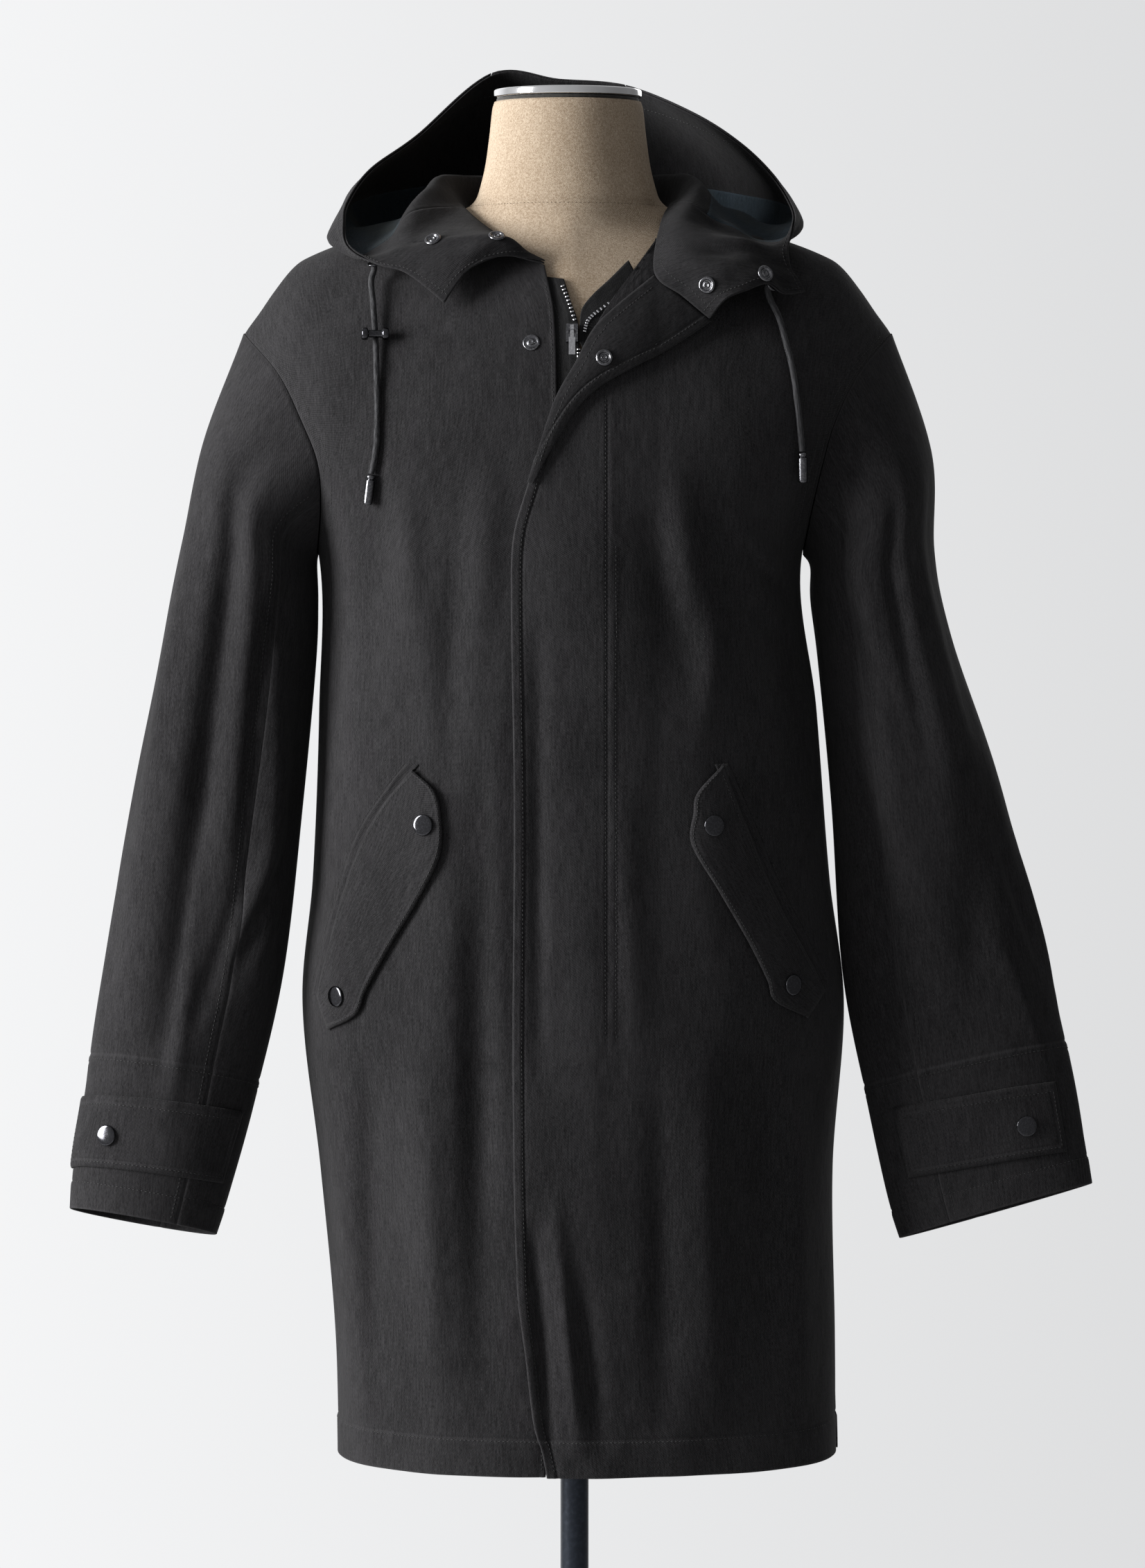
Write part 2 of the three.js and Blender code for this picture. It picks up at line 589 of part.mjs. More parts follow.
// Catmull-Rom through a row of points
function through(points, u) {
  const last = points.length - 1;
  const i = clamp(Math.floor(u), 0, last - 1);
  const s = u - i;
  const [a, b] = [points[i], points[i + 1]];
  const [before, after] = [points[Math.max(i - 1, 0)], points[Math.min(i + 2, last)]];
  const [s2, s3] = [s * s, s * s * s];
  return V(0, 0, 0)
    .addScaledVector(a, 2 * s3 - 3 * s2 + 1)
    .addScaledVector(b.clone().sub(before), (s3 - 2 * s2 + s) / 2)
    .addScaledVector(b, 3 * s2 - 2 * s3)
    .addScaledVector(after.clone().sub(a), (s3 - s2) / 2);
}

const HOOD_CONTROLS = HOOD.map((_, i) => hoodControl(i));

function hoodPoint(station, row) {
  const u = row / HOOD_ROWS * 5;
  return through(HOOD_CONTROLS.map((control) => through(control, u)), station);
}

function hoodNormal(station, row) {
  const step = 0.15;
  const lastStation = HOOD.length - 1;
  const along = hoodPoint(clamp(station + step, 0, lastStation), row)
    .sub(hoodPoint(clamp(station - step, 0, lastStation), row));
  const up = hoodPoint(station, clamp(row + step, 0, HOOD_ROWS))
    .sub(hoodPoint(station, clamp(row - step, 0, HOOD_ROWS)));
  return up.cross(along).normalize();
}

// A corner of the hood's grid moved out, or a place on the flat facets between corners
function hoodLayer(station, row, distance) {
  const corner = (s, r) => hoodPoint(s / HOOD_STEPS, r)
    .addScaledVector(hoodNormal(s / HOOD_STEPS, r), distance);
  const s0 = Math.floor(station * HOOD_STEPS + 1e-6);
  const r0 = Math.floor(row + 1e-6);
  const [s, r] = [station * HOOD_STEPS - s0, row - r0];
  const side = (rowAt) => (s < 1e-6 ? corner(s0, rowAt) : corner(s0, rowAt).lerp(corner(s0 + 1, rowAt), s));
  return r < 1e-6 ? side(r0) : side(r0).lerp(side(r0 + 1), r);
}

// A stretch of the hood's cloth, trimmed a little where it meets another stretch
function hoodWall(station0, station1, row0, row1, from, to) {
  const cols = Math.round((station1 - station0) * HOOD_STEPS);
  const trim = 0.02;
  const low = station0 + (station0 > 0 ? trim : 0);
  const high = station1 - (station1 < HOOD.length - 1 ? trim : 0);
  const layer = (distance) => across(row1 - row0).map((v) => across(cols).map((u) => {
    const row = clamp(mix(row0, row1, v), row0 > 0 ? row0 + trim : 0, row1 < HOOD_ROWS ? row1 - trim : row1);
    return hoodLayer(clamp(mix(station0, station1, u), low, high), row, distance);
  }));
  return solidFrom(layer(from), layer(to));
}

// A thin piece on the front, made from the panel's points between two outlines
function frontPatch(pathA, pathB, rows, cols, lift, thickness, height = () => 0) {
  const layer = (extra) => across(rows).map((t) => across(cols).map((w) => {
    const [ax, az] = alongPath(pathA, t);
    const [bx, bz] = alongPath(pathB, t);
    const [x, z] = [mix(ax, bx, w), mix(az, bz, w)];
    return frontPoint(x, z, lift(x) + extra + height(t, w));
  }));
  return solidFrom(layer(thickness), layer(0));
}

// Pockets: a slanted welt under a shaped flap, given for the wearer's right
const WELT_RIGHT = [[-122, 1079], [-137, 1060], [-157, 1029], [-168, 1000], [-178, 966], [-187, 931], [-193, 907]];
const WELT_WIDTH = 9;
const FLAP_RIGHT = {
  inner: [[-118, 1075], [-131, 1061], [-142, 1047], [-154, 1027], [-163, 1005], [-172, 979], [-180, 949],
    [-187, 923], [-190, 905]],
  outer: [[-117, 1074], [-102, 1061], [-97, 1044], [-97.5, 1015], [-114, 981], [-134.5, 946.5], [-151.5, 915.5],
    [-160, 896], [-181, 883]],
};
const WELT_LEFT = [[111, 1079], [119, 1061], [133, 1029], [147, 995], [167, 956], [185, 919]];
const FLAP_LEFT = {
  inner: [[108, 1079], [117, 1056], [122, 1043], [128, 1030], [139, 1002], [151, 976], [167, 947], [176, 930],
    [185, 912]],
  outer: [[107, 1078], [89, 1059], [86, 1044], [84.5, 1022], [104, 989], [125, 953], [140, 923], [146, 907],
    [171, 893]],
};
const POCKET_SNAPS = [
  // name, x, z, space under the cap
  ['flap_right_snap_upper', -109.6, 1035.5, 0.35],
  ['flap_right_snap_lower', -174.5, 908, 0.2],
  ['flap_left_snap_upper', 100.8, 1035, 0.35],
  ['flap_left_snap_lower', 159.5, 917.5, 0.35],
];
const CAP_RADIUS = 7.6;
const CAP_HEIGHT = 2.6;
const SOCKET_RADIUS = 6.2;
const SOCKET_HEIGHT = 1.8;
const WELT_THICK = 1.4;
const FLAP_THICK = 1.6;
const FLAP_LIFT = 3.5;        // the flap lies over the welt

const moved = (path, dx) => path.map(([x, z]) => [x + dx, z]);

function pocketWelt(side) {
  const path = side < 0 ? WELT_RIGHT : WELT_LEFT;
  const lift = () => LAYER_GAP + 0.45;
  return frontPatch(path, moved(path, -side * WELT_WIDTH), 8, 1, lift, WELT_THICK);
}

function pocketFlap(side) {
  const { inner, outer } = side < 0 ? FLAP_RIGHT : FLAP_LEFT;
  return frontPatch(inner, outer, 16, 3, () => FLAP_LIFT, FLAP_THICK);
}

// Turned parts, each from its profile of radius and height
function lathe(profile, sides) {
  return new THREE.LatheGeometry(profile.map(([r, h]) => new THREE.Vector2(r, h)), sides);
}

const disc = (radius, height) => lathe([[0, 0], [radius, 0], [radius, height * 0.45], [radius * 0.82, height * 0.9],
  [radius * 0.4, height], [0, height]], 14);
const socket = (radius, height) => lathe([[radius * 0.3, 0], [radius, 0], [radius, height * 0.5],
  [radius * 0.8, height], [radius * 0.55, height * 0.8], [radius * 0.3, height * 0.4], [radius * 0.3, 0]], 12);
const stud = (radius, height) => lathe([[0, 0], [radius, 0], [radius, height * 0.35], [radius * 0.5, height * 0.5],
  [radius * 0.42, height], [0, height]], 12);

function cleaned(geometry) {
  const bare = geometry.clone();
  bare.deleteAttribute('normal');
  bare.deleteAttribute('uv');
  const merged = mergeVertices(bare, 1e-4);
  const kept = [];
  const index = merged.index.array;
  for (let i = 0; i < index.length; i += 3) {
    const [a, b, c] = [index[i], index[i + 1], index[i + 2]];
    if (a !== b && b !== c && a !== c) kept.push(a, b, c);
  }
  merged.setIndex(kept);
  return merged;
}

function seated(geometry, point, normal, lift) {
  const turn = new THREE.Quaternion().setFromUnitVectors(V(0, 1, 0), normal);
  const matrix = new THREE.Matrix4().makeRotationFromQuaternion(turn);
  matrix.setPosition(point.clone().addScaledVector(normal, lift));
  return cleaned(geometry).applyMatrix4(matrix);
}

function normalOf(surface, a, b, step) {
  const da = surface(a + step, b).sub(surface(a - step, b));
  const db = surface(a, b + step).sub(surface(a, b - step));
  return da.cross(db).normalize();
}

function frontNormal(x, z) {
  const normal = normalOf((a, b) => frontPoint(a, b), x, z, 6);
  return normal.y > 0 ? normal.negate() : normal;
}

// Cuff tabs lie across the front of each sleeve, between two angles; low and high are their borders
// along the sleeve, at the first angle and at the second
const TABS = {
  right: { angle0: 5, angle1: 154, low: [0.886, 0.868], high: [0.7775, 0.767], snapAngle: 55, snapLift: 0.3 },
  left: { angle0: 38, angle1: 141, low: [0.884, 0.855], high: [0.769, 0.756], snapAngle: 64.5, snapLift: 0.4 },
};
const TAB_THICK = 2.2;
const TAB_LIFT = 0.9;

function tabPoint(side, along, upward, lift) {
  const tab = side < 0 ? TABS.right : TABS.left;
  const angle = mix(tab.angle0, tab.angle1, along);
  const t = mix(mix(...tab.low, along), mix(...tab.high, along), upward);
  const surface = (a, b) => sleevePoint(side, a, b / 100);
  const normal = normalOf(surface, angle, t * 100, 1.5);
  if (normal.dot(surface(angle, t * 100).sub(sleeveCentre(side, t))) < 0) normal.negate();
  return { point: surface(angle, t * 100).addScaledVector(normal, lift), normal };
}

function cuffTab(side) {
  const layer = (lift) => across(3).map((u) => across(9).map((a) => tabPoint(side, a, u, lift).point));
  return solidFrom(layer(TAB_LIFT + TAB_THICK), layer(TAB_LIFT));
}

function tabSnap(side) {
  const tab = side < 0 ? TABS.right : TABS.left;
  const along = (tab.snapAngle - tab.angle0) / (tab.angle1 - tab.angle0);
  const { point, normal } = tabPoint(side, along, 0.5, TAB_LIFT + TAB_THICK);
  return seated(disc(CAP_RADIUS, CAP_HEIGHT), point, normal, tab.snapLift);
}

// Zip: two tapes, the slider on them and its pull tab
const TAPE_WIDTH = 22;
const TAPE_THICK = 0.9;
const TAPE_DEPTH = 2;         // from the right front's outer face down to the tape
const TAPE_DIP = { from: -11, over: 5, depth: 0.8 };   // where it passes under the right front
const CHAIN_RIGHT = [[-8, 1428], [-3, 1412], [2, 1397], [3, 1380], [3, 1340], [3, 1296]];
const CHAIN_LEFT = [[47, 1427], [33, 1416], [19, 1406], [10, 1398], [7, 1389], [5, 1380]];

function zipTape(side) {
  if (side < 0) {
    const dip = (x) => TAPE_DIP.depth * clamp((TAPE_DIP.from - x) / TAPE_DIP.over, 0, 1);
    const sunk = (x) => -TAPE_DEPTH - TAPE_THICK - dip(x);
    const inner = CHAIN_RIGHT.map(([x, z]) => [x - TAPE_WIDTH, z + 3]);
    return frontPatch(inner, CHAIN_RIGHT, 10, 4, sunk, TAPE_THICK);
  }
  const sunk = (x) => overlapLift(x) - SHELL - LAYER_GAP - TAPE_THICK - 2.4;
  const inner = CHAIN_LEFT.map(([x, z], i) => [x - mix(8, 2, i / 5), z + mix(15, 4, i / 5)]);
  return frontPatch(inner, CHAIN_LEFT, 6, 1, sunk, TAPE_THICK);
}

// Slider and pull tab. The slider carries a pin between two ears, and the tab's eye hangs on it
const SLIDER_AT = { x: -1.9, z: 1388 };
const SLIDER_SIZE = { width: 8.4, depth: 3.4, height: 13.5 };
const PIN = { y: -6, z: 3, radius: 0.75 };
const EYE = { inner: 1.1, outer: 2.3, width: 2.6 };
const EAR = { thick: 0.8, gap: 0.35, height: 4.6, reach: 3.8 };
const PULL_TAB = { width: 4.6, thick: 1.3, length: 20.5, neck: 5.6 };
const sliderSlope = Math.atan2(
  frontPoint(SLIDER_AT.x, SLIDER_AT.z + 8).y - frontPoint(SLIDER_AT.x, SLIDER_AT.z - 8).y, 16);
const SLIDER_LIFT = SEAM_GAP - TAPE_DEPTH;

// From the slider's own frame, its back at y = 0 and its middle at z = 0, to its place on the tape
const onTape = (geometry) => geometry.rotateX(-sliderSlope)
  .translate(...frontPoint(SLIDER_AT.x, SLIDER_AT.z, SLIDER_LIFT).toArray());

function solid(geometry) {
  const bare = cleaned(geometry);
  return new wasm.Manifold(new wasm.Mesh({
    numProp: 3,
    vertProperties: new Float32Array(bare.attributes.position.array),
    triVerts: new Uint32Array(bare.index.array),
  }));
}

function joined(parts) {
  const { vertProperties, triVerts } = parts.map(solid).reduce((a, b) => a.add(b)).getMesh();
  const geometry = new THREE.BufferGeometry();
  geometry.setAttribute('position', new THREE.BufferAttribute(vertProperties, 3));
  geometry.setIndex(new THREE.BufferAttribute(triVerts, 1));
  return geometry;
}

const box = (w, d, h, at) => new THREE.BoxGeometry(w, d, h).translate(at.x, at.y, at.z);

function zipSlider() {
  const { width, depth, height } = SLIDER_SIZE;
  const sunk = 0.2;
  const body = box(width, depth, height, V(0, -depth / 2, 0));
  const ears = [-1, 1].map((side) => box(EAR.thick, EAR.reach, EAR.height, V(
    side * (EYE.width / 2 + EAR.gap + EAR.thick / 2), sunk - depth - EAR.reach / 2, PIN.z)));
  const rodLength = EYE.width + 2 * EAR.gap + EAR.thick;
  const rod = new THREE.CylinderGeometry(PIN.radius, PIN.radius, rodLength, 12).rotateZ(Math.PI / 2)
    .translate(0, PIN.y, PIN.z);
  return onTape(joined([body, ...ears, rod]));
}

function pullTab() {
  const ring = new THREE.Shape();
  ring.absarc(0, 0, EYE.outer, 0, Math.PI * 2);
  const hole = new THREE.Path();
  hole.absarc(0, 0, EYE.inner, 0, Math.PI * 2, true);
  ring.holes.push(hole);
  const eye = new THREE.ExtrudeGeometry(ring, { depth: EYE.width, bevelEnabled: false, curveSegments: 8 });
  eye.translate(0, 0, -EYE.width / 2).rotateY(Math.PI / 2).translate(0, PIN.y, PIN.z);
  const top = PIN.z - (EYE.inner + EYE.outer) / 2;
  const low = PIN.z - PULL_TAB.length;
  const split = top - PULL_TAB.neck;
  const bar = (width, from, to) => box(width, PULL_TAB.thick, from - to, V(0, PIN.y, (from + to) / 2));
  return onTape(joined([eye, bar(EYE.width, top, split - 1), bar(PULL_TAB.width, split, low)]));
}

// Metal set in the hood: place on its cloth, and the side it shows on (1 outside, -1 inside)
const HOOD_METAL = [
  // name, shape, station, row, side, space under the rim
  ['chin_left_socket_upper', 'socket', 19.4, 6.1, -1, 0.35],
  ['chin_left_socket_lower', 'socket', 19.2, 1.6, -1, 0.15],
  ['chin_right_socket_upper', 'socket', 2.35, 3.8, -1, 0.5],
  ['chin_right_socket_lower', 'socket', 1.2, 2.6, -1, -0.1],
  ['eyelet_right', 'eyelet', 3.35, 8.1, 1, 2.1],
  ['eyelet_left', 'eyelet', 19.6, 7.1, 1, 0.9],
];
const EYELET = { radius: 5.2, hole: 3.2, height: 1.3 };

function eyelet() {
  const { radius, hole, height } = EYELET;
  const crest = mix(hole, radius, 0.55);
  return lathe([[hole, 0], [radius, 0], [radius, height * 0.4], [crest, height], [hole, height * 0.6], [hole, 0]], 14);
}

function hoodMetal(shape, station, row, side, gap) {
  const normal = hoodNormal(station, row).multiplyScalar(side);
  const wallTop = SEAM_GAP / 2 + (side > 0 ? SHELL : LINING);
  const form = shape === 'eyelet' ? eyelet() : socket(SOCKET_RADIUS, SOCKET_HEIGHT);
  return seated(form, hoodPoint(station, row), normal, wallTop + gap);
}

// The socket on the turned facing and the stud it closes on
const TURNED_SOCKET = { t: 0.61, w: 0.52, lift: 0.2 };
const FRONT_STUD = { x: -31.1, z: 1381.7, height: 3, lift: 0 };

function turnedSocket() {
  const { t, w, lift } = TURNED_SOCKET;
  const surface = (a, b) => turnedPoint(a, b, SHELL);
  const normal = normalOf(surface, t, w, 0.06);
  if (normal.y > 0) normal.negate();
  return seated(socket(SOCKET_RADIUS, SOCKET_HEIGHT), surface(t, w), normal, lift);
}

function frontStud() {
  const { x, z, height, lift } = FRONT_STUD;
  return seated(stud(SOCKET_RADIUS, height), frontPoint(x, z), frontNormal(x, z), lift);
}

// Drawcords: each route by hand, from below its eyelet to its tip
const CORD_RADIUS = 2.25;
const CORD_RIGHT = [
  [-144.9, -73.2, 1438.6], [-145.3, -72.6, 1434.6], [-147, -74.2, 1428.6], [-146.8, -78.2, 1421.5], [-145.6, -82.6, 1412], [-144.4, -88.6, 1398], [-143.5, -93.1, 1386],
  [-142.8, -97.6, 1372], [-142.4, -101.1, 1358], [-142, -103.6, 1344], [-141.9, -106.1, 1329],
  [-142.3, -107.6, 1312], [-144, -107.6, 1298], [-146.2, -106.6, 1288],
];
const CORD_LEFT = [
  [142.2, -92.7, 1424.2], [139.6, -90, 1423], [139.5, -86.7, 1418.6], [142.2, -85.1, 1411.4], [145.8, -85, 1404.5], [149, -86, 1396], [152.6, -88, 1382], [156, -90, 1369],
  [158.4, -92, 1356], [160.2, -93.5, 1342], [161.9, -94, 1328], [163.2, -94, 1315], [164.2, -93.5, 1304],
];
const TIP = { radius: 3.5, length: 22, right: [-148.8, -104.8, 1267.5], left: [164.7, -92, 1281.5] };
const CORD_LOCK = { length: 20, barRadius: 1.8, flangeRadius: 4, flange: 2.4, z: 1388.5, tilt: 9 };

function tubeAlong(points, radius, sides) {
  const curve = new THREE.CatmullRomCurve3(points.map(([x, y, z]) => V(x, y, z)));
  const section = new THREE.Shape(Array.from({ length: sides }, (_, i) => {
    const angle = i / sides * Math.PI * 2;
    return new THREE.Vector2(Math.cos(angle) * radius, Math.sin(angle) * radius);
  }));
  const steps = Math.min(80, Math.round(curve.getLength() / (radius * 3.5)));
  return cleaned(new THREE.ExtrudeGeometry(section, { steps, extrudePath: curve, bevelEnabled: false }));
}

function cordTip(points, end) {
  const [start, finish] = [V(...points.at(-1)), V(...end)];
  const { radius, length } = TIP;
  const profile = [[0, 0], [radius * 0.8, 0], [radius, 1.2], [radius, length - 1], [radius * 0.85, length], [0, length]];
  return seated(lathe(profile, 12), start, finish.sub(start).normalize(), 2 * SEAM_GAP);
}

function cordLock() {
  const { length, barRadius, flangeRadius, flange, z, tilt } = CORD_LOCK;
  const [x, y] = sample(CORD_RIGHT.map(([cx, cy, cz]) => [cz, cx, cy]).reverse(), z);
  const half = length / 2;
  const profile = [[0, -half], [flangeRadius, -half], [flangeRadius, flange - half], [barRadius, flange - half],
    [barRadius, half - flange], [flangeRadius, half - flange], [flangeRadius, half], [0, half]];
  return cleaned(lathe(profile, 14)).rotateZ((tilt - 90) * DEG)
    .translate(x, y - CORD_RADIUS - barRadius - 2 * SEAM_GAP, z);
}

// Dress form: torso and neck in one piece, felt ring, cap, pole and round base
const INSET = 2.3;            // from the coat's outer face down to the form along the shoulder
const BODY_INSET = 3.8;       // in front of it and behind it
const NECK_INSET = 7;         // and the same at the foot of the neck
const FORM = [
  // z, half width, front, back
  [850, 156, 102, 102],
  [858, 166, 110, 110],
  [900, 172, 115, 116],
  [960, 164, 110, 112],
  [1050, 146, 101, 98],
  [1130, 146, 106, 97],
  [1228, 153, 117, 101],
  [1300, 168, 117, 103],
  [1370, 188, 112, 100],
  [1420, 197, 100, 92],
  [1440, 186, 95, 88],
  [1452, 190, 92, 86],
];
const FORM_LEVELS = [850, 858, 900, 960, 1020, 1085, 1150, 1228, 1290, 1340, 1380, 1410, 1428, 1440, 1450,
  1459, 1467, 1474, 1480];
const NECK_Y = 1;
const NECK_FOOT = 66;         // radius of the neck's column inside the top of the torso
const NECK = [
  // z, radius
  [1487, 68],
  [1497, 65],
  [1513, 61],
  [1538, 57.5],
  [1556, 55.5],
  [1561, 54],
];
const FORM_SIDES = 24;
const FELT = { z: 1561.3, height: 2.4, radius: 52.5, edge: 0.4 };
const CAP = { z: 1564, height: 6, radius: 54.5, edge: 1.2 };
const BASE = { radius: 190, height: 10, collar: 17, collarTop: 48 };
const POLE = { radius: 10.5, low: BASE.collarTop + SEAM_GAP, high: FORM[0][0] - SEAM_GAP };

const ringAngles = Array.from({ length: FORM_SIDES }, (_, i) => i / FORM_SIDES * Math.PI * 2);

function ridgeHalf(z) {
  let half = RIDGE.at(-1)[0];
  while (half > 0 && ridgeZ(NECK_X - half) < z) half -= 0.25;
  return half;
}

function formRing(z) {
  const [half, front, back] = sample(FORM, z);
  const reach = Math.min(half, ridgeHalf(z + INSET));
  const inset = mix(BODY_INSET, NECK_INSET, clamp((z - 1460) / 20, 0, 1));
  return ringAngles.map((angle) => {
    const share = Math.cos(angle);
    const x = NECK_X + reach * share;
    const rear = Math.sin(angle) > 0;
    const room = Math.max(trunkDepth(x, z + INSET, rear) - inset, 0.5);
    const rounding = Math.cbrt(1 - Math.min(Math.abs(share) ** 3, 1));
    const inFoot = NECK_FOOT ** 2 - (reach * share) ** 2;
    const column = inFoot > 0 ? Math.sqrt(inFoot) + (SIDE_Y - NECK_Y) * (rear ? -1 : 1) : 0;
    const depth = Math.max(Math.min(room, rear ? back : front) * rounding, column);
    return V(x, SIDE_Y + (rear ? depth : -depth), z);
  });
}

const neckRing = ([z, radius]) => ringAngles.map((angle) => (
  V(NECK_X + radius * Math.cos(angle), NECK_Y + radius * Math.sin(angle), z)));

// Closed body through a stack of rings, with a middle point on its two ends
function loft(rings) {
  const sides = rings[0].length;
  const all = [...rings.flat()];
  const faces = [];
  const at = (r, c) => r * sides + (c % sides);
  for (let r = 0; r < rings.length - 1; r += 1) {
    for (let c = 0; c < sides; c += 1) {
      faces.push(at(r, c), at(r, c + 1), at(r + 1, c + 1), at(r, c), at(r + 1, c + 1), at(r + 1, c));
    }
  }
  for (const r of [0, rings.length - 1]) {
    const middle = rings[r].reduce((a, b) => a.clone().add(b)).divideScalar(sides);
    for (let c = 0; c < sides; c += 1) {
      faces.push(all.length, ...(r === 0 ? [at(r, c + 1), at(r, c)] : [at(r, c), at(r, c + 1)]));
    }
    all.push(middle);
  }
  return facingOut(all.flatMap((p) => [p.x, p.y, p.z]), faces);
}

const dressForm = () => loft([...FORM_LEVELS.map(formRing), ...NECK.map(neckRing)]);
const turned = (profile, x, y, z, sides) => cleaned(lathe(profile, sides)).rotateX(Math.PI / 2).translate(x, y, z);
const plainDisc = ({ radius, height, edge }) => [[0, 0], [radius - edge, 0], [radius, edge],
  [radius, height - edge], [radius - edge, height], [0, height]];
const { radius: baseRadius, height: baseHeight, collar, collarTop } = BASE;
const basePlate = [[0, 0], [baseRadius, 0], [baseRadius, baseHeight - 3], [baseRadius - 4, baseHeight],
  [collar + 3, baseHeight + 2], [collar, baseHeight + 6], [collar, collarTop], [0, collarTop]];

const parka = new THREE.Group();
parka.name = 'parka';
const material = (color, roughness, metalness = 0) => (
  new THREE.MeshStandardMaterial({ color, roughness, metalness }));
const CLOTH = material(0x1d1c1e, 0.9);
const FACING = material(0x201f21, 0.9);
const LINING_CLOTH = material(0x26333d, 0.85);
const TAPE = material(0x141416, 0.8);
const METAL = material(0x17171a, 0.3, 0.9);
const CORD = material(0x1a1a1c, 0.7);
const LINEN = material(0xc2a98a, 0.9);
const FELT_CLOTH = material(0x2a2725, 0.95);
const CHROME = material(0xd8d8da, 0.12, 1);
const STEEL = material(0x1b2230, 0.35, 0.8);

function add(name, geometry, look) {
  const mesh = new THREE.Mesh(geometry, look);
  mesh.name = name;
  parka.add(mesh);
}

add('front_right', frontPanel(-1), CLOTH);
add('front_left', frontPanel(1), CLOTH);
add('back', backPanel(), CLOTH);
for (const [name, side] of [['right', -1], ['left', 1]]) {
  add(`sleeve_${name}_upper`, sleevePart(side, SEAM_REAR - 2 * ARM_STEPS, SEAM_FRONT), CLOTH);
  add(`sleeve_${name}_under`, sleevePart(side, SEAM_FRONT, SEAM_REAR), CLOTH);
  add(`pocket_welt_${name}`, pocketWelt(side), CLOTH);
  add(`pocket_flap_${name}`, pocketFlap(side), CLOTH);
  add(`cuff_tab_${name}`, cuffTab(side), CLOTH);
  add(`cuff_tab_${name}_snap`, tabSnap(side), METAL);
}
for (const [name, x, z, gap] of POCKET_SNAPS) {
  const onFlap = frontPoint(x, z, FLAP_LIFT + FLAP_THICK);
  add(name, seated(disc(CAP_RADIUS, CAP_HEIGHT), onFlap, frontNormal(x, z), gap), METAL);
}

const lastStation = HOOD.length - 1;
const [crownA, crownB] = CROWN_STATIONS;
const outerLayer = [SEAM_GAP / 2, SEAM_GAP / 2 + SHELL];
const innerLayer = [-SEAM_GAP / 2 - LINING, -SEAM_GAP / 2];
add('hood_side_right', hoodWall(0, crownA, 0, HOOD_ROWS, ...outerLayer), CLOTH);
add('hood_crown', hoodWall(crownA, crownB, 0, HOOD_ROWS, ...outerLayer), CLOTH);
add('hood_side_left', hoodWall(crownB, lastStation, 0, HOOD_ROWS, ...outerLayer), CLOTH);
const { right: creaseA, left: creaseB } = CREASE_STATION;
add('hood_facing_right', hoodWall(0, creaseA, 0, HOOD_ROWS, ...innerLayer), FACING);
add('hood_facing_left', hoodWall(creaseB, lastStation, 0, HOOD_ROWS, ...innerLayer), FACING);
add('hood_stand_facing', hoodWall(creaseA, creaseB, 0, STAND_ROWS, ...innerLayer), FACING);
add('hood_lining', hoodWall(creaseA, creaseB, STAND_ROWS, BAND_ROWS, ...innerLayer), LINING_CLOTH);
add('hood_band_facing', hoodWall(creaseA, creaseB, BAND_ROWS, HOOD_ROWS, ...innerLayer), FACING);

const turnedLayer = (lift) => across(9).map((t) => across(4).map((w) => turnedPoint(t, w, lift)));
add('front_left_facing', solidFrom(turnedLayer(SHELL), turnedLayer(0)), FACING);
add('zip_tape_right', zipTape(-1), TAPE);
add('zip_tape_left', zipTape(1), TAPE);

add('zip_slider', zipSlider(), METAL);
add('zip_pull_tab', pullTab(), METAL);
for (const [name, ...place] of HOOD_METAL) add(name, hoodMetal(...place), METAL);
add('turned_front_socket', turnedSocket(), METAL);
add('front_right_stud', frontStud(), METAL);
add('drawcord_right', tubeAlong(CORD_RIGHT, CORD_RADIUS, 8), CORD);
add('drawcord_left', tubeAlong(CORD_LEFT, CORD_RADIUS, 8), CORD);
add('cord_tip_right', cordTip(CORD_RIGHT, TIP.right), METAL);
add('cord_tip_left', cordTip(CORD_LEFT, TIP.left), METAL);
add('cord_lock', cordLock(), METAL);

add('form_torso', dressForm(), LINEN);
add('form_felt', turned(plainDisc(FELT), NECK_X, NECK_Y, FELT.z, 32), FELT_CLOTH);
add('form_cap', turned(plainDisc(CAP), NECK_X, NECK_Y, CAP.z, 32), CHROME);
const poleLength = POLE.high - POLE.low;
add('form_pole', turned([[0, 0], [POLE.radius, 0], [POLE.radius, poleLength], [0, poleLength]],
  0, 0, POLE.low, 24), STEEL);
add('form_base', turned(basePlate, 0, 0, 0, 48), STEEL);

export default parka;
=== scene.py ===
import math
from functools import partial
import bpy
import numpy as np
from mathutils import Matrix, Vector
from mathutils.bvhtree import BVHTree


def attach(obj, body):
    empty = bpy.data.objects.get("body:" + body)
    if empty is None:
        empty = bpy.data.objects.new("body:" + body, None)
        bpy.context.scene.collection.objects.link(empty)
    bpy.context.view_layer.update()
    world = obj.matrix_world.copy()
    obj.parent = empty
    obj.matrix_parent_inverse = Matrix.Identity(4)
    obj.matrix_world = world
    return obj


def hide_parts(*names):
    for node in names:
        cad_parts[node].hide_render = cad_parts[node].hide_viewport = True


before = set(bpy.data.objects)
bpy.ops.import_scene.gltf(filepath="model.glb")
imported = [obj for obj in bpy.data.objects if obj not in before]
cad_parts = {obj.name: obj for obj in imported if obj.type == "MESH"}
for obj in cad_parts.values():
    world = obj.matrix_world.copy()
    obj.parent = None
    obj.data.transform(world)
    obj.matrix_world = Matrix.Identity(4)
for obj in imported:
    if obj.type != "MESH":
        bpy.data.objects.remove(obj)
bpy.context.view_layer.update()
BODY = "coat_and_form"
MM = 0.001
SIDES = ((-1, "right"), (1, "left"))     # the wearer's sides, by the sign of x

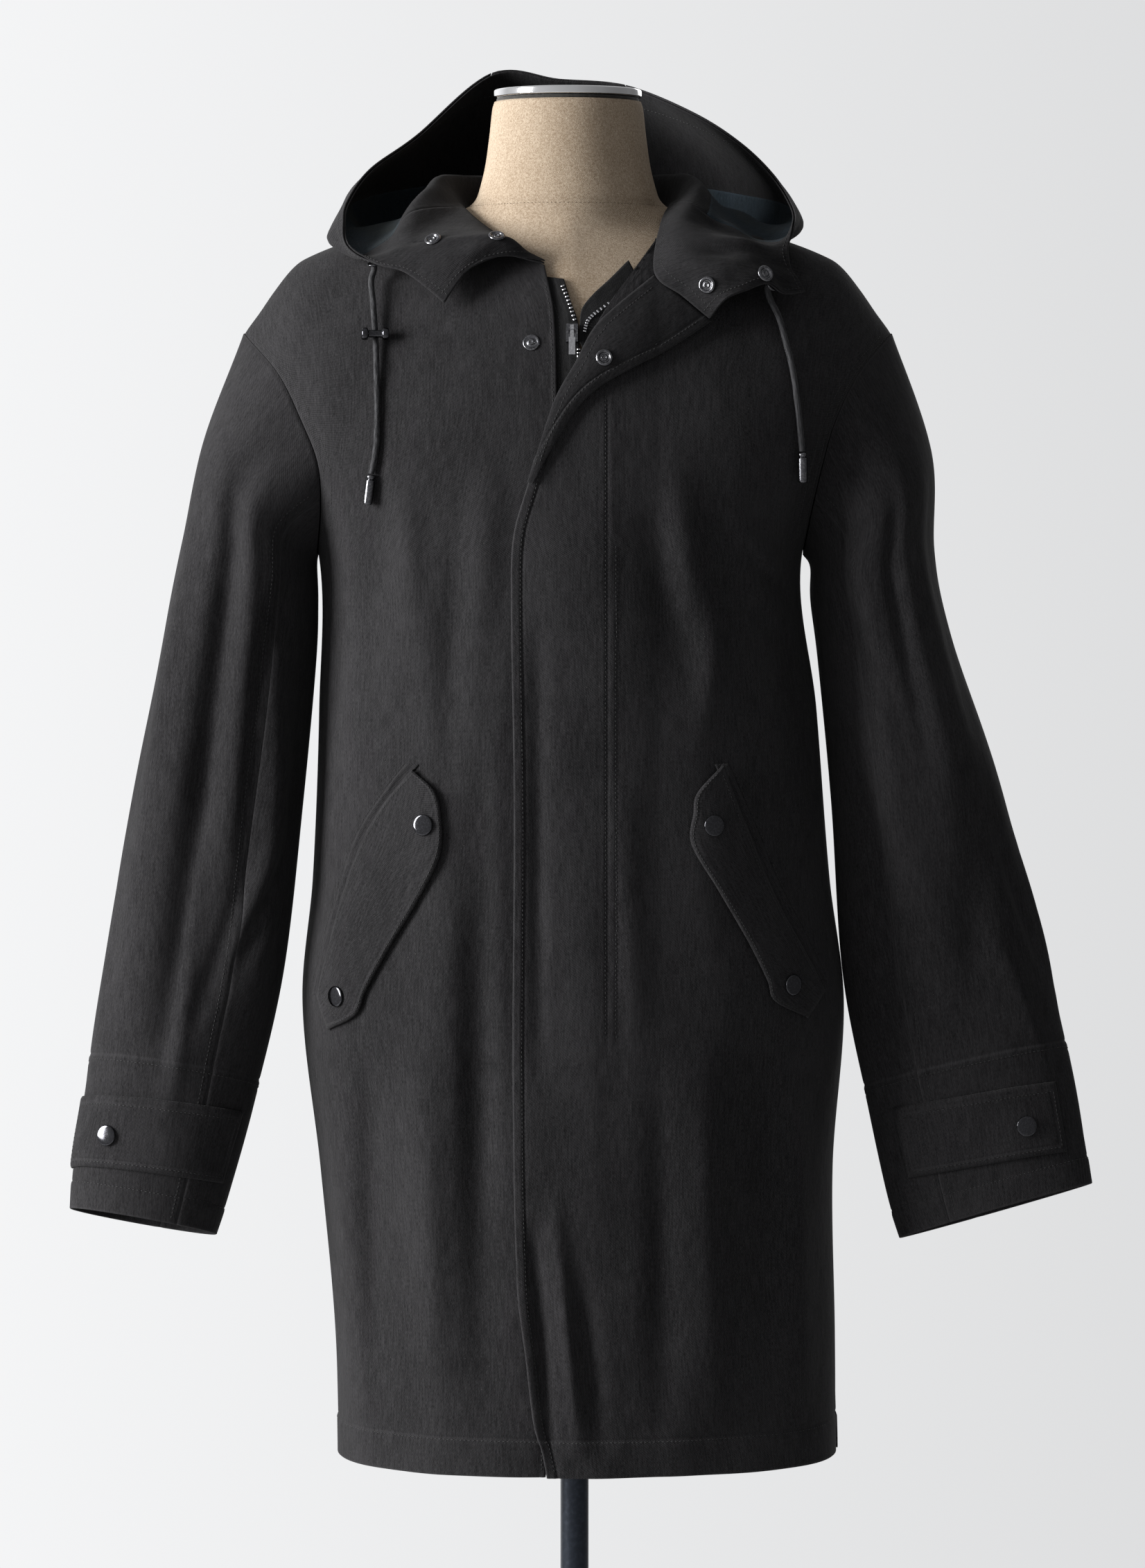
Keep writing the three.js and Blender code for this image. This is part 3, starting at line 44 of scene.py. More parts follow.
# ---------------------------------------------------------------- camera (metres)
EYE, LOOKS_DOWN = (-0.0015, -4.0, 1.28), 3.17
FOCAL_PX, PHOTO_HIGH_PX, SENSOR = 7800, 2263, 36
cam = bpy.data.objects.new("camera", bpy.data.cameras.new("camera"))
bpy.context.collection.objects.link(cam)
cam.location = EYE
cam.rotation_euler = (math.radians(90 - LOOKS_DOWN), 0, 0)
cam.data.sensor_fit, cam.data.sensor_height = "VERTICAL", SENSOR
cam.data.lens = FOCAL_PX / PHOTO_HIGH_PX * SENSOR
cam.data.clip_end = 60
bpy.context.scene.camera = cam

# ---------------------------------------------------------------- the coat's shape, as in its solids (mm)
SHELL, LINING, SEAM_GAP = 1.3, 1.0, 0.3
HEM_Z, ARMPIT_Z, TIP_Z, NECK_X = 562, 1228, 1391, -5
# z; half width on the right and left, depth in front and behind
TRUNK = [[540, 176, 195, 121, 116], [650, 178, 194, 126, 122], [775, 189, 192, 130, 129],
         [897, 202, 200, 134, 134], [990, 194, 189, 134, 128], [1115, 189, 179, 134, 119],
         [1228, 189, 168, 136, 116], [1300, 216, 204, 133, 117], [1391, 254, 248, 120, 113],
         [1500, 262, 258, 112, 108]]
SQUARE, SIDE_Y = 2.4, 5
# distance from the neck's middle, height of the shoulder's ridge
RIDGE = [[0, 1507], [80, 1482], [120, 1471], [162, 1459], [194, 1446], [204, 1438], [217, 1421.5], [227, 1407],
         [238.5, 1391], [262, 1350]]
FRONT_FALL, BACK_FALL, FALL_POWER = 180, 150, 2.2     # how the shoulder rounds off
# z; distance of the armhole from the middle, right and left
ARMHOLE = [[1228, 189, 168], [1262, 184.5, 173], [1295, 186, 180], [1326, 198, 189], [1361, 216, 207],
           [1391, 243.5, 233.5]]
# z, x of the front edge
ZIP_EDGE = [[540, -22], [600, -20], [700, -16], [1280, -13], [1400, -15], [1438, -22]]
PLACKET_EDGE = [[540, -16], [579, -23], [600, -29], [650, -35], [700, -41], [843, -44], [1050, -43], [1208, -45],
                [1245, -43], [1280, -33], [1310, -24], [1342, -13], [1367, 1], [1390, 13], [1405, 27], [1430, 57]]
OVERLAP_LIFT, OVERLAP_END = 4.2, 60
# x, z of the neckline from the front edge to the shoulder
NECK_RIGHT = [[-22, 1438], [-47, 1451], [-68, 1466], [-79, 1476.5], [-84, 1482]]
NECK_LEFT = [[57, 1430], [59, 1448], [64, 1463], [70, 1475.5], [74, 1484]]
BACK_NECK_Z = 1468
# x and z of a fold's one end, x and z of the other, half width, height
FRONT_FOLDS = [[-158, 1262, -149, 1100, 13, -3], [-124, 1277, -112, 1150, 12, 3], [-90, 1130, -99, 760, 26, 5],
               [-62, 1000, -62, 600, 14, -4], [-140, 880, -128, 590, 20, -4], [58, 1245, 84, 1128, 13, -5],
               [82, 1262, 112, 1130, 16, 5], [62, 900, 70, 600, 22, 4], [118, 860, 126, 580, 20, -5],
               [160, 1180, 166, 1060, 14, -4]]
BACK_FOLDS = [[-128, 1190, -112, 900, 22, 5], [-52, 1000, -60, 590, 24, -5], [0, 1180, 4, 800, 26, 4],
              [62, 960, 70, 590, 22, -5], [120, 1170, 104, 860, 20, 5], [-128, 820, -134, 590, 20, 4],
              [132, 800, 138, 590, 20, 4]]
# x, y, z of a ring's centre, its half width and half depth, its bank and pitch in degrees
SLEEVE = {
    -1: [[-232, 4, 1266, 62, 84, 48, 2], [-239.5, 2, 1216, 55, 83, 25, 4], [-247, -1, 1160, 57, 79, 12, 6],
         [-262, -8, 1055, 62, 66, 8, 9], [-280, -17, 932, 66, 52, 8, 11], [-298, -24, 835, 62, 45, 9, 12],
         [-312, -29, 770, 58, 40, 10, 12], [-318.5, -31, 737, 54, 38, 10, 12]],
    1: [[219, 4, 1262, 62, 84, 44, 2], [220, 2, 1213, 49, 83, 22, 4], [229, -1, 1160, 50, 79, 12, 6],
        [251, -8, 1055, 62, 66, 10, 9], [271, -17, 932, 74, 46, 11, 11], [292, -24, 835, 76, 32, 13, 12],
        [304, -29, 775, 75, 24, 15, 12], [311, -31, 745, 73, 21, 16, 12]]}
# angle and z of a fold's one end, angle and z of the other, half width, height
SLEEVE_FOLDS = {
    -1: [[60, 1320, 78, 1085, 12, 4], [118, 1150, 108, 930, 14, -7], [84, 1030, 96, 815, 7, 5],
         [132, 1240, 108, 1120, 10, -5], [300, 1080, 250, 960, 14, -5]],
    1: [[62, 1310, 60, 1060, 14, 4], [128, 1220, 100, 1110, 10, -5], [118, 1080, 92, 960, 12, 4],
        [60, 1010, 84, 880, 12, -4], [300, 1080, 250, 960, 14, -5]]}
# place along the neckline, then points from the neck to the rim
HOOD = [
    [0.00, [-36, -93, 1443], [-50, -97, 1444.5], [-66, -100, 1440.5], [-80, -101, 1431], [-94, -101, 1411]],
    [0.25, [-48, -92, 1457], [-62, -99, 1453], [-78, -101, 1446], [-92, -100, 1437], [-108, -96, 1423]],
    [0.50, [-78, -86, 1460], [-92, -91, 1455], [-104, -92, 1448], [-114, -91, 1441], [-124, -89, 1434]],
    [0.75, [-112, -74, 1459], [-121, -77, 1454], [-129, -79, 1449], [-137, -80.5, 1443], [-144, -79.5, 1440]],
    [0.88, [-118, -48, 1478], [-134, -50, 1459], [-149, -57, 1448], [-160, -61, 1446], [-164, -66, 1453]],
    [1.00, [-106, -14, 1498], [-124, -12, 1477], [-152, -22, 1465.5], [-178, -31, 1459], [-168, -37, 1472]],
    [1.125, [-98, 14, 1507], [-116, 36, 1475], [-144, 42, 1465.5], [-175, 18, 1472], [-166, 2, 1489]],
    [1.25, [-80, 48, 1509], [-98, 88, 1455], [-128, 104, 1444], [-166, 78, 1490], [-151, 46, 1514]],
    [1.35, [-58, 76, 1509], [-74, 120, 1425], [-104, 152, 1402], [-146, 136, 1502], [-118, 86, 1541]],
    [1.43, [-34, 87, 1509], [-46, 138, 1402], [-66, 184, 1378], [-92, 184, 1512], [-62, 116, 1590]],
    [1.50, [-5, 91, 1509], [-5, 143, 1396], [-6, 196, 1368], [-8, 200, 1512], [-12, 120, 1586]],
    [1.57, [24, 87, 1509], [36, 138, 1402], [56, 184, 1378], [78, 184, 1510], [38, 117, 1581]],
    [1.65, [46, 76, 1509], [64, 120, 1427], [94, 150, 1404], [132, 136, 1500], [88, 92, 1559]],
    [1.75, [68, 48, 1510], [86, 86, 1458], [116, 100, 1446], [154, 80, 1492], [123, 58, 1534]],
    [1.875, [84, 14, 1508], [104, 34, 1476], [132, 40, 1466], [163, 24, 1480], [147, 18, 1507]],
    [2.00, [90, -16, 1500], [110, -14, 1477], [136, -18, 1467], [164, -28, 1469], [159, -34, 1481]],
    [2.12, [84, -46, 1484], [106, -46, 1465], [128, -52, 1456], [150, -62, 1456], [158, -66, 1466]],
    [2.50, [74, -74, 1466], [94, -78, 1462], [116, -80, 1456], [138, -79, 1449], [154, -76, 1450]],
    [3.00, [76, -94, 1446], [98, -95, 1449], [120, -92, 1447], [140, -86, 1441], [156, -79, 1436]],
    [3.50, [96, -105, 1429], [115, -103, 1435], [132, -98, 1436], [147, -90, 1430], [161, -81, 1428]],
    [4.00, [108, -109, 1413], [124, -106, 1420], [139, -99, 1425], [151, -91, 1418], [166, -80, 1419.5]]]
# x, z
FOLD_LINE = [[-33, 1282], [-24, 1310], [-13, 1342], [1, 1367], [13, 1390], [27, 1405], [57, 1430]]
TURNED_EDGE = [[-30, 1281], [-19, 1303], [0, 1333], [17, 1350], [41, 1364], [68, 1378], [97, 1397]]
TURN_ROLL = 7
CORD_R = 2.25
CORD_RIGHT = [[-144.9, -73.2, 1438.6], [-145.3, -72.6, 1434.6], [-147, -74.2, 1428.6], [-146.8, -78.2, 1421.5],
              [-145.6, -82.6, 1412], [-144.4, -88.6, 1398], [-143.5, -93.1, 1386], [-142.8, -97.6, 1372],
              [-142.4, -101.1, 1358], [-142, -103.6, 1344], [-141.9, -106.1, 1329], [-142.3, -107.6, 1312],
              [-144, -107.6, 1298], [-146.2, -106.6, 1288]]
CORD_LEFT = [[142.2, -92.7, 1424.2], [139.6, -90, 1423], [139.5, -86.7, 1418.6], [142.2, -85.1, 1411.4],
             [145.8, -85, 1404.5], [149, -86, 1396], [152.6, -88, 1382], [156, -90, 1369], [158.4, -92, 1356],
             [160.2, -93.5, 1342], [161.9, -94, 1328], [163.2, -94, 1315], [164.2, -93.5, 1304]]
FINE_FRONT = [[-154, 1265, -160, 1105, 11, 3], [-176, 1188, -172, 1100, 8, -3], [-124, 1298, -129, 1120, 14, 2.5],
              [-84, 1243, -92, 1060, 11, -3.2], [-62, 1300, -70, 1166, 12, 2.5], [-176, 850, -168, 600, 13, 4.5],
              [-149, 860, -143, 606, 10, -4.5], [-112, 870, -100, 606, 13, 4.5], [-74, 968, -70, 640, 12, -3.6],
              [-26, 1170, -26, 860, 7, -2.6], [-30, 745, -17, 570, 6, -4.5], [-14, 760, 3, 584, 7, 3.8],
              [4, 700, 20, 584, 8, -3.8], [71, 1298, 82, 1133, 13, 3], [116, 1256, 158, 1194, 8, 4.5],
              [124, 1234, 166, 1180, 6, -7], [136, 1212, 170, 1155, 8, 5], [104, 1188, 93, 1105, 12, 3],
              [60, 858, 67, 606, 13, -4.5], [95, 868, 104, 606, 14, 4.5], [137, 858, 142, 606, 11, -4.5],
              [164, 838, 168, 606, 10, 4], [36, 1060, 44, 880, 10, 2.2], [-56, 1100, -54, 760, 8, 2]]
FINE_SLEEVE = {
    -1: [[82, 1330, 104, 1130, 9, 4], [104, 1130, 112, 960, 8, 4], [114, 1330, 136, 1090, 9, -5],
         [146, 1010, 124, 930, 6, -5.5], [134, 1018, 113, 934, 6, 5], [124, 1000, 100, 890, 6, -4],
         [74, 1310, 86, 890, 14, -18], [118, 1300, 140, 920, 13, 10], [30, 1330, 44, 940, 12, 5]],
    1: [[44, 1290, 47, 1080, 9, 4], [76, 1290, 82, 1070, 8, -4.5], [40, 1030, 24, 930, 6, -4],
        [12, 1012, 6, 910, 7, 4], [130, 1070, 116, 930, 8, -4], [104, 1200, 108, 1040, 8, 3.5],
        [60, 960, 40, 850, 7, 3]]}
# inner edge and outer edge, x and z
FLAP = {
    -1: ([[-118, 1075], [-131, 1061], [-142, 1047], [-154, 1027], [-163, 1005], [-172, 979], [-180, 949],
          [-187, 923], [-190, 905]],
         [[-117, 1074], [-102, 1061], [-97, 1044], [-97.5, 1015], [-114, 981], [-134.5, 946.5], [-151.5, 915.5],
          [-160, 896], [-181, 883]]),
    1: ([[108, 1079], [117, 1056], [122, 1043], [128, 1030], [139, 1002], [151, 976], [167, 947], [176, 930],
         [185, 912]],
        [[107, 1078], [89, 1059], [86, 1044], [84.5, 1022], [104, 989], [125, 953], [140, 923], [146, 907],
         [171, 893]])}
WELT = {-1: [[-122, 1079], [-137, 1060], [-157, 1029], [-168, 1000], [-178, 966], [-187, 931], [-193, 907]],
        1: [[111, 1079], [119, 1061], [133, 1029], [147, 995], [167, 956], [185, 919]]}
FLAP_LIFT, FLAP_THICK, WELT_THICK, WELT_WIDTH, LAYER_GAP = 3.5, 1.6, 1.4, 9, 0.5
POCKET_SNAPS = {"flap_right_snap_upper": (-109.6, 1035.5), "flap_right_snap_lower": (-174.5, 908),
                "flap_left_snap_upper": (100.8, 1035), "flap_left_snap_lower": (159.5, 917.5)}
# first and last angle, t of the lower and of the upper edge at each, angle of the snap
TABS = {-1: (5, 154, (0.886, 0.868), (0.7775, 0.767), 55), 1: (38, 141, (0.884, 0.855), (0.769, 0.756), 64.5)}
TAB_THICK, TAB_LIFT = 2.2, 0.9
CHAIN_RIGHT = [[-8, 1428], [-3, 1412], [2, 1397], [3, 1380], [3, 1340], [3, 1296]]
CHAIN_LEFT = [[47, 1427], [33, 1416], [19, 1406], [10, 1398], [7, 1389], [5, 1380]]
TAPE_WIDTH, TAPE_THICK, TAPE_DEPTH = 22, 0.9, 2
TIP_END = {"right": (-148.8, -104.8, 1267.5), "left": (164.7, -92, 1281.5)}
# z; half width, depth in front and behind
FORM = [[850, 156, 102, 102], [858, 166, 110, 110], [900, 172, 115, 116], [960, 164, 110, 112], [1050, 146, 101, 98],
        [1130, 146, 106, 97], [1228, 153, 117, 101], [1300, 168, 117, 103], [1370, 188, 112, 100],
        [1420, 197, 100, 92], [1440, 186, 95, 88], [1452, 190, 92, 86]]
# z, radius
NECK = [[1487, 68], [1497, 65], [1513, 61], [1538, 57.5], [1556, 55.5], [1561, 54]]
NECK_Y, NECK_FOOT, FORM_LIFT, BODY_INSET, NECK_INSET = 1, 66, 2.3, 3.8, 7
FINE_SHARE, FRONT_WOBBLE, BACK_WOBBLE, SLEEVE_WOBBLE = 1.25, 1.3, 1.6, 1.3
NO_SEAM = 99.0


def mix(a, b, t):
    return a + (b - a) * t


def hermite(a, b, slope_a, slope_b, t):
    t2, t3 = t * t, t * t * t
    return (2 * t3 - 3 * t2 + 1) * a + (t3 - 2 * t2 + t) * slope_a + (3 * t2 - 2 * t3) * b + (t3 - t2) * slope_b


def sample(table, key):
    """Smooth values between a table's rows, over its first column."""
    t = np.asarray(table, float)
    k = np.clip(np.asarray(key, float), t[0, 0], t[-1, 0])
    i = np.searchsorted(t[1:-1, 0], k, side="left")
    a, b = t[i], t[i + 1]
    before, after = t[np.maximum(i - 1, 0)], t[np.minimum(i + 2, len(t) - 1)]
    span = (b - a)[..., :1]
    s = (k[..., None] - a[..., :1]) / span
    slope_a = (b - before) / (b - before)[..., :1] * span
    slope_b = (after - a) / (after - a)[..., :1] * span
    return hermite(a, b, slope_a, slope_b, s)[..., 1:]


def along_path(path, t):
    return sample([[i / (len(path) - 1), *p] for i, p in enumerate(path)], t)


def fold_height(folds, a, b, scale=1):
    total = np.zeros(np.broadcast(a, b).shape)
    for a0, b0, a1, b1, width, height in folds:
        da, db = (a1 - a0) * scale, b1 - b0
        pa, pb = (a - a0) * scale, b - b0
        t = np.clip((pa * da + pb * db) / (da * da + db * db), 0, 1)
        off = np.hypot(pa - da * t, pb - db * t) / (width * scale)
        total += height * np.sin(np.pi * (t * 0.8 + 0.1)) * np.exp(-off * off)
    return total


def wobble(a, b, phase):
    """The cloth's slight unevenness, in mm."""
    return (0.5 * np.sin(a / 17 + b / 90 + phase) * np.sin(b / 61 + 2 * phase)
            + 0.35 * np.sin(a / 9.5 - b / 47 + phase) * np.sin(b / 33 + a / 40)
            + 0.3 * np.sin(a / 29 + b / 23 - phase))


def ridge_z(x):
    return sample(RIDGE, np.abs(x - NECK_X))[..., 0]


def trunk_depth(x, z, rear):
    x, z = np.broadcast_arrays(np.asarray(x, float), np.asarray(z, float))
    t = sample(TRUNK, z)
    half = np.where(x < 0, t[..., 0], t[..., 1])
    across = (1 - np.clip(np.abs(x) / half, 0, 1) ** SQUARE) ** (1 / SQUARE)
    down = np.clip((ridge_z(x) - z) / (BACK_FALL if rear else FRONT_FALL), 0, 1)
    down = (1 - (1 - down) ** FALL_POWER) ** (1 / FALL_POWER)
    return t[..., 3 if rear else 2] * across * down


def fold_fade(x, z):
    t = sample(TRUNK, z)
    half = np.where(x < 0, t[..., 0], t[..., 1])
    return np.clip((half - np.abs(x)) / 24, 0, 1) * np.clip((1330 - z) / 60, 0, 1)


def front_point(x, z, lift=0.0):
    x, z = np.broadcast_arrays(np.asarray(x, float), np.asarray(z, float))
    fold = (fold_height(FRONT_FOLDS, x, z) + FINE_SHARE * fold_height(FINE_FRONT, x, z)
            + FRONT_WOBBLE * wobble(x, z, 0.4)) * fold_fade(x, z)
    return np.stack([x, SIDE_Y - SEAM_GAP - trunk_depth(x, z, False) - fold - lift, z], -1)


def back_point(x, z):
    x, z = np.broadcast_arrays(np.asarray(x, float), np.asarray(z, float))
    fold = (fold_height(BACK_FOLDS, x, z) + BACK_WOBBLE * wobble(x, z, 2.1)) * fold_fade(x, z)
    return np.stack([x, SIDE_Y + SEAM_GAP + trunk_depth(x, z, True) + fold, z], -1)


def overlap_lift(x):
    return OVERLAP_LIFT * np.clip((OVERLAP_END - x) / 45, 0, 1) ** 0.8


def armhole_x(side, z):
    t = sample(ARMHOLE, z)
    return -t[..., 0] if side < 0 else t[..., 1]


def arm_z(t):
    return (TIP_Z + ARMPIT_Z) / 2 - (TIP_Z - ARMPIT_Z) / 2 * np.cos(np.pi * t)


# ---------------------------------------------------------------- grids of the front and back panels
HEM_ROWS = np.concatenate([HEM_Z + np.arange(0, 34, 1.6), np.linspace(HEM_Z + 36, ARMPIT_Z, 125, endpoint=False)])
ARM_Z = arm_z(np.linspace(0, 1, 61))[:, None]                    # rows beside the armhole
ARM_SHARE = (ARM_Z - ARMPIT_Z) / (TIP_Z - ARMPIT_Z)
NECK_SHARE = 0.4                                                 # of a panel's top; the rest is its shoulder


def coons(low, high, first, last, corners, c, v):
    """A patch between its lowest and highest lines and its first and last columns."""
    (low_a, low_b), (high_a, high_b) = corners
    return mix(low, high, v) + mix(first, last, c) - mix(mix(low_a, low_b, c), mix(high_a, high_b, c), v)


def stacked(low_x, upper):
    """x and z of a panel: its rows up to the armpit, then the patch above."""
    z = np.broadcast_to(HEM_ROWS[:, None], low_x.shape)
    return (np.vstack([low_x, upper[..., 0]]),
            np.vstack([z, np.minimum(upper[..., 1], ridge_z(upper[..., 0]))]))


def front_grid(side, c):
    """x and z of a front panel from its edge to its side seam, hem to shoulder."""
    edge_table, neck = (ZIP_EDGE, NECK_RIGHT) if side < 0 else (PLACKET_EDGE, NECK_LEFT)

    def low_x(c, z):
        half = sample(TRUNK, z)[..., 0 if side < 0 else 1]
        start = np.arcsin(np.clip(sample(edge_table, z)[..., 0] * side / half, -1, 1))
        return side * half * np.sin(mix(start, math.pi / 2, c))

    in_neck = along_path(neck, np.clip(c / NECK_SHARE, 0, 1))
    x = mix(neck[-1][0], armhole_x(side, TIP_Z), (c - NECK_SHARE) / (1 - NECK_SHARE))
    high = np.where((c <= NECK_SHARE)[:, None], in_neck, np.stack([x, ridge_z(x)], -1))[None]
    edge_z = mix(ARMPIT_Z, neck[0][1], ARM_SHARE)
    edge = np.stack([sample(edge_table, edge_z)[..., 0], edge_z], -1)
    arm = np.stack([armhole_x(side, ARM_Z), ARM_Z], -1)
    armpit = np.full_like(c, ARMPIT_Z)
    low = np.stack([low_x(c, armpit), armpit], -1)[None]
    corners = (low[:, :1], low[:, -1:]), (high[:, :1], high[:, -1:])
    upper = coons(low, high, edge, arm, corners, c[None, :, None], ARM_SHARE[..., None])
    return stacked(low_x(c[None], HEM_ROWS[:, None]), upper)


def back_grid(c):
    """x and z of the back from side seam to side seam, hem to shoulders."""
    share, right = np.abs(c), c < 0

    def low_x(c, z):
        t = sample(TRUNK, z)
        return np.where(c < 0, t[..., 0], t[..., 1]) * np.sin(c * math.pi / 2)

    shoulder = np.where(right[:, None], NECK_RIGHT[-1], NECK_LEFT[-1])
    t = np.sin(np.clip(share / NECK_SHARE, 0, 1) * math.pi / 2)
    in_neck = np.stack([mix(NECK_X, shoulder[:, 0], t), mix(BACK_NECK_Z, shoulder[:, 1], t ** 3)], -1)
    tips = np.where(right, armhole_x(-1, TIP_Z), armhole_x(1, TIP_Z))
    x = mix(shoulder[:, 0], tips, (share - NECK_SHARE) / (1 - NECK_SHARE))
    high = np.where((share <= NECK_SHARE)[:, None], in_neck, np.stack([x, ridge_z(x)], -1))[None]
    arm = np.stack([np.where(right, armhole_x(-1, ARM_Z), armhole_x(1, ARM_Z)),
                    np.broadcast_to(ARM_Z, (len(ARM_Z), len(c)))], -1)
    armpit = np.full_like(c, ARMPIT_Z)
    low = np.stack([low_x(c, armpit), armpit], -1)[None]
    v, mid, near_right = ARM_SHARE[..., None], len(c) // 2, right[None, :, None]
    low_mid, high_mid = low[:, mid:mid + 1], high[:, mid:mid + 1]
    corners = ((low_mid, np.where(near_right, low[:, :1], low[:, -1:])),
               (high_mid, np.where(near_right, high[:, :1], high[:, -1:])))
    upper = coons(low, high, mix(low_mid, high_mid, v), arm, corners, share[None, :, None], v)
    return stacked(low_x(c[None], HEM_ROWS[:, None]), upper)


# ---------------------------------------------------------------- sleeves, turned front and hood
def armhole_axis(side):
    a = np.array([side * 0.95, 0, 0.31])
    return a / np.linalg.norm(a)


def sleeve_centre(side, t):
    first = [side * (214 if side < 0 else 203), 4, 1309]
    path = np.array([first] + [r[:3] for r in SLEEVE[side]], float)
    u = np.clip(t, 0, 1) * (len(path) - 1)
    i = np.minimum(np.floor(u).astype(int), len(path) - 2)
    return mix(path[i], path[i + 1], (u - i)[..., None])


def sleeve_point(side, angle, t):
    """angle 0 is the outer side, 90 the front; t runs from the armhole to the cuff."""
    angle, t = np.broadcast_arrays(np.asarray(angle, float), np.asarray(t, float))
    turn = np.mod(angle, 360)
    z = (TIP_Z + ARMPIT_Z) / 2 + (TIP_Z - ARMPIT_Z) / 2 * np.cos(np.radians(turn))
    x = armhole_x(side, z)
    start = np.where((turn <= 180)[..., None], front_point(x, z), back_point(x, z))
    rings = [start + armhole_axis(side) * 3 * SEAM_GAP]
    cos, sin = np.cos(np.radians(angle)), np.sin(np.radians(angle))
    for x0, y0, z0, half_w, half_d, bank, pitch in SLEEVE[side]:
        out, ahead = cos * half_w, sin * half_d
        bk, pt = math.radians(bank), math.radians(pitch)
        rings.append(np.stack([x0 + side * out * math.cos(bk), y0 - ahead * math.cos(pt),
                               z0 + out * math.sin(bk) + ahead * math.sin(pt)], -1))
    path = np.stack(rings)
    last = len(path) - 1
    u = np.clip(t, 0, 1) * last
    i = np.minimum(np.floor(u).astype(int), last - 1)
    s = (u - i)[..., None]

    def pick(k):
        return np.take_along_axis(path, np.clip(k, 0, last)[None, ..., None], 0)[0]

    a, b = pick(i), pick(i + 1)
    before = np.where((i == 0)[..., None], a - (b - a) * 0.6, pick(i - 1))
    point = hermite(a, b, (b - before) / 2, (pick(i + 2) - a) / 2, s)
    fade = np.clip(t * 6, 0, 1) * np.clip((point[..., 2] - 800) / 60, 0, 1) \
        * np.clip((np.abs(turn - 180) - 20) / 20, 0, 1)
    away = point - sleeve_centre(side, t)
    away[..., 2] = 0
    away /= np.linalg.norm(away, axis=-1, keepdims=True)
    folds = fold_height(SLEEVE_FOLDS[side] + FINE_SLEEVE[side], turn, point[..., 2], 2)
    folds = folds + wobble(turn * 1.1, point[..., 2], side + 0.7) * SLEEVE_WOBBLE
    return point + away * (folds * fade)[..., None]


def turned_point(t, w):
    fold, edge = along_path(FOLD_LINE, t), along_path(TURNED_EDGE, t)
    xz = mix(fold, edge, np.asarray(w)[..., None])
    opened = np.sin(np.pi * np.clip(t, 0.02, 1) * 0.55)
    roll = TURN_ROLL * opened * np.sin(np.pi * np.clip(0.16 + w * 0.72, 0, 1)) ** 0.8
    return front_point(xz[..., 0], xz[..., 1], overlap_lift(xz[..., 0]) + SHELL + 0.5 + roll)


def neckline_point(seam):
    def on_front(path, t):
        x, z = along_path(path, t)
        return front_point(x, min(z, ridge_z(x)), overlap_lift(x) if x > 0 else 0.0)
    if seam <= 1:
        return on_front(NECK_RIGHT, seam)
    if seam >= 3:
        return turned_point(np.float64(1), np.float64((seam - 3) * 0.98))
    if seam >= 2:
        return on_front(NECK_LEFT, 3 - seam)
    shoulder = NECK_RIGHT[-1] if seam < 1.5 else NECK_LEFT[-1]
    t = math.sin(abs(seam - 1.5) * math.pi)
    x = mix(NECK_X, shoulder[0], t)
    return back_point(x, min(mix(BACK_NECK_Z, shoulder[1], t ** 3), ridge_z(x)))


def hood_control(row):
    seam, *points = row
    start = neckline_point(seam)
    to_neck = np.array([NECK_X - start[0], -start[1], 0])
    to_neck /= np.linalg.norm(to_neck)
    if seam >= 3:
        lift = np.array([1.1, -0.6, 2.1])
    else:
        lift = to_neck * (1.8 if seam > 2 else 1)
        lift[2] = 4.5 if seam > 2 else 2.9
    return np.vstack([start + lift, np.array(points, float)])


HOOD_CONTROLS = np.stack([hood_control(row) for row in HOOD])


def through(points, u, axis):
    """Catmull-Rom along one axis of an array of points."""
    last = points.shape[axis] - 1
    i = np.clip(np.floor(u).astype(int), 0, last - 1)
    shape = [1] * points.ndim
    shape[axis] = -1
    s = (u - i).reshape(shape)

    def at(k):
        return np.take(points, np.clip(k, 0, last), axis)
    a, b = at(i), at(i + 1)
    return hermite(a, b, (b - at(i - 1)) / 2, (at(i + 2) - a) / 2, s)


def hood_grid(stations, rows):
    """Rows (0..10) by stations of the hood's mid surface."""
    g = through(HOOD_CONTROLS, np.asarray(rows, float) / 2, 1)
    return through(g, np.asarray(stations, float), 0).transpose(1, 0, 2)


# ---------------------------------------------------------------- making meshes from grids
def unit(v):
    return v / np.maximum(np.linalg.norm(v, axis=-1, keepdims=True), 1e-9)


def step(a, b, v):
    t = np.clip((v - a) / (b - a), 0, 1)
    return t * t * (3 - 2 * t)


def near(v, centre, width):
    return np.exp(-((v - centre) / width) ** 2)


def normals(grid, toward):
    n = unit(np.cross(np.gradient(grid, axis=0), np.gradient(grid, axis=1)))
    return -n if np.sum(n * toward) < 0 else n


def spans(grid):
    """Lengths along rows and columns from the first column and row."""
    u, v = np.zeros(grid.shape[:2]), np.zeros(grid.shape[:2])
    u[:, 1:] = np.cumsum(np.linalg.norm(np.diff(grid, axis=1), axis=-1), 1)
    v[1:] = np.cumsum(np.linalg.norm(np.diff(grid, axis=0), axis=-1), 0)
    return u, v


def border_distance(grid, sides):
    """Distance in mm to the named borders: 0 first row, 1 last row, 2 first column, 3 last column."""
    u, v = spans(grid)
    return np.minimum.reduce([[v, v[-1:] - v, u, u[:, -1:] - u][s] for s in sides])


def grid_area(grid):
    p, q = grid[1:, 1:] - grid[:-1, :-1], grid[1:, :-1] - grid[:-1, 1:]
    return float(np.linalg.norm(np.cross(p, q), axis=-1).sum() / 2)


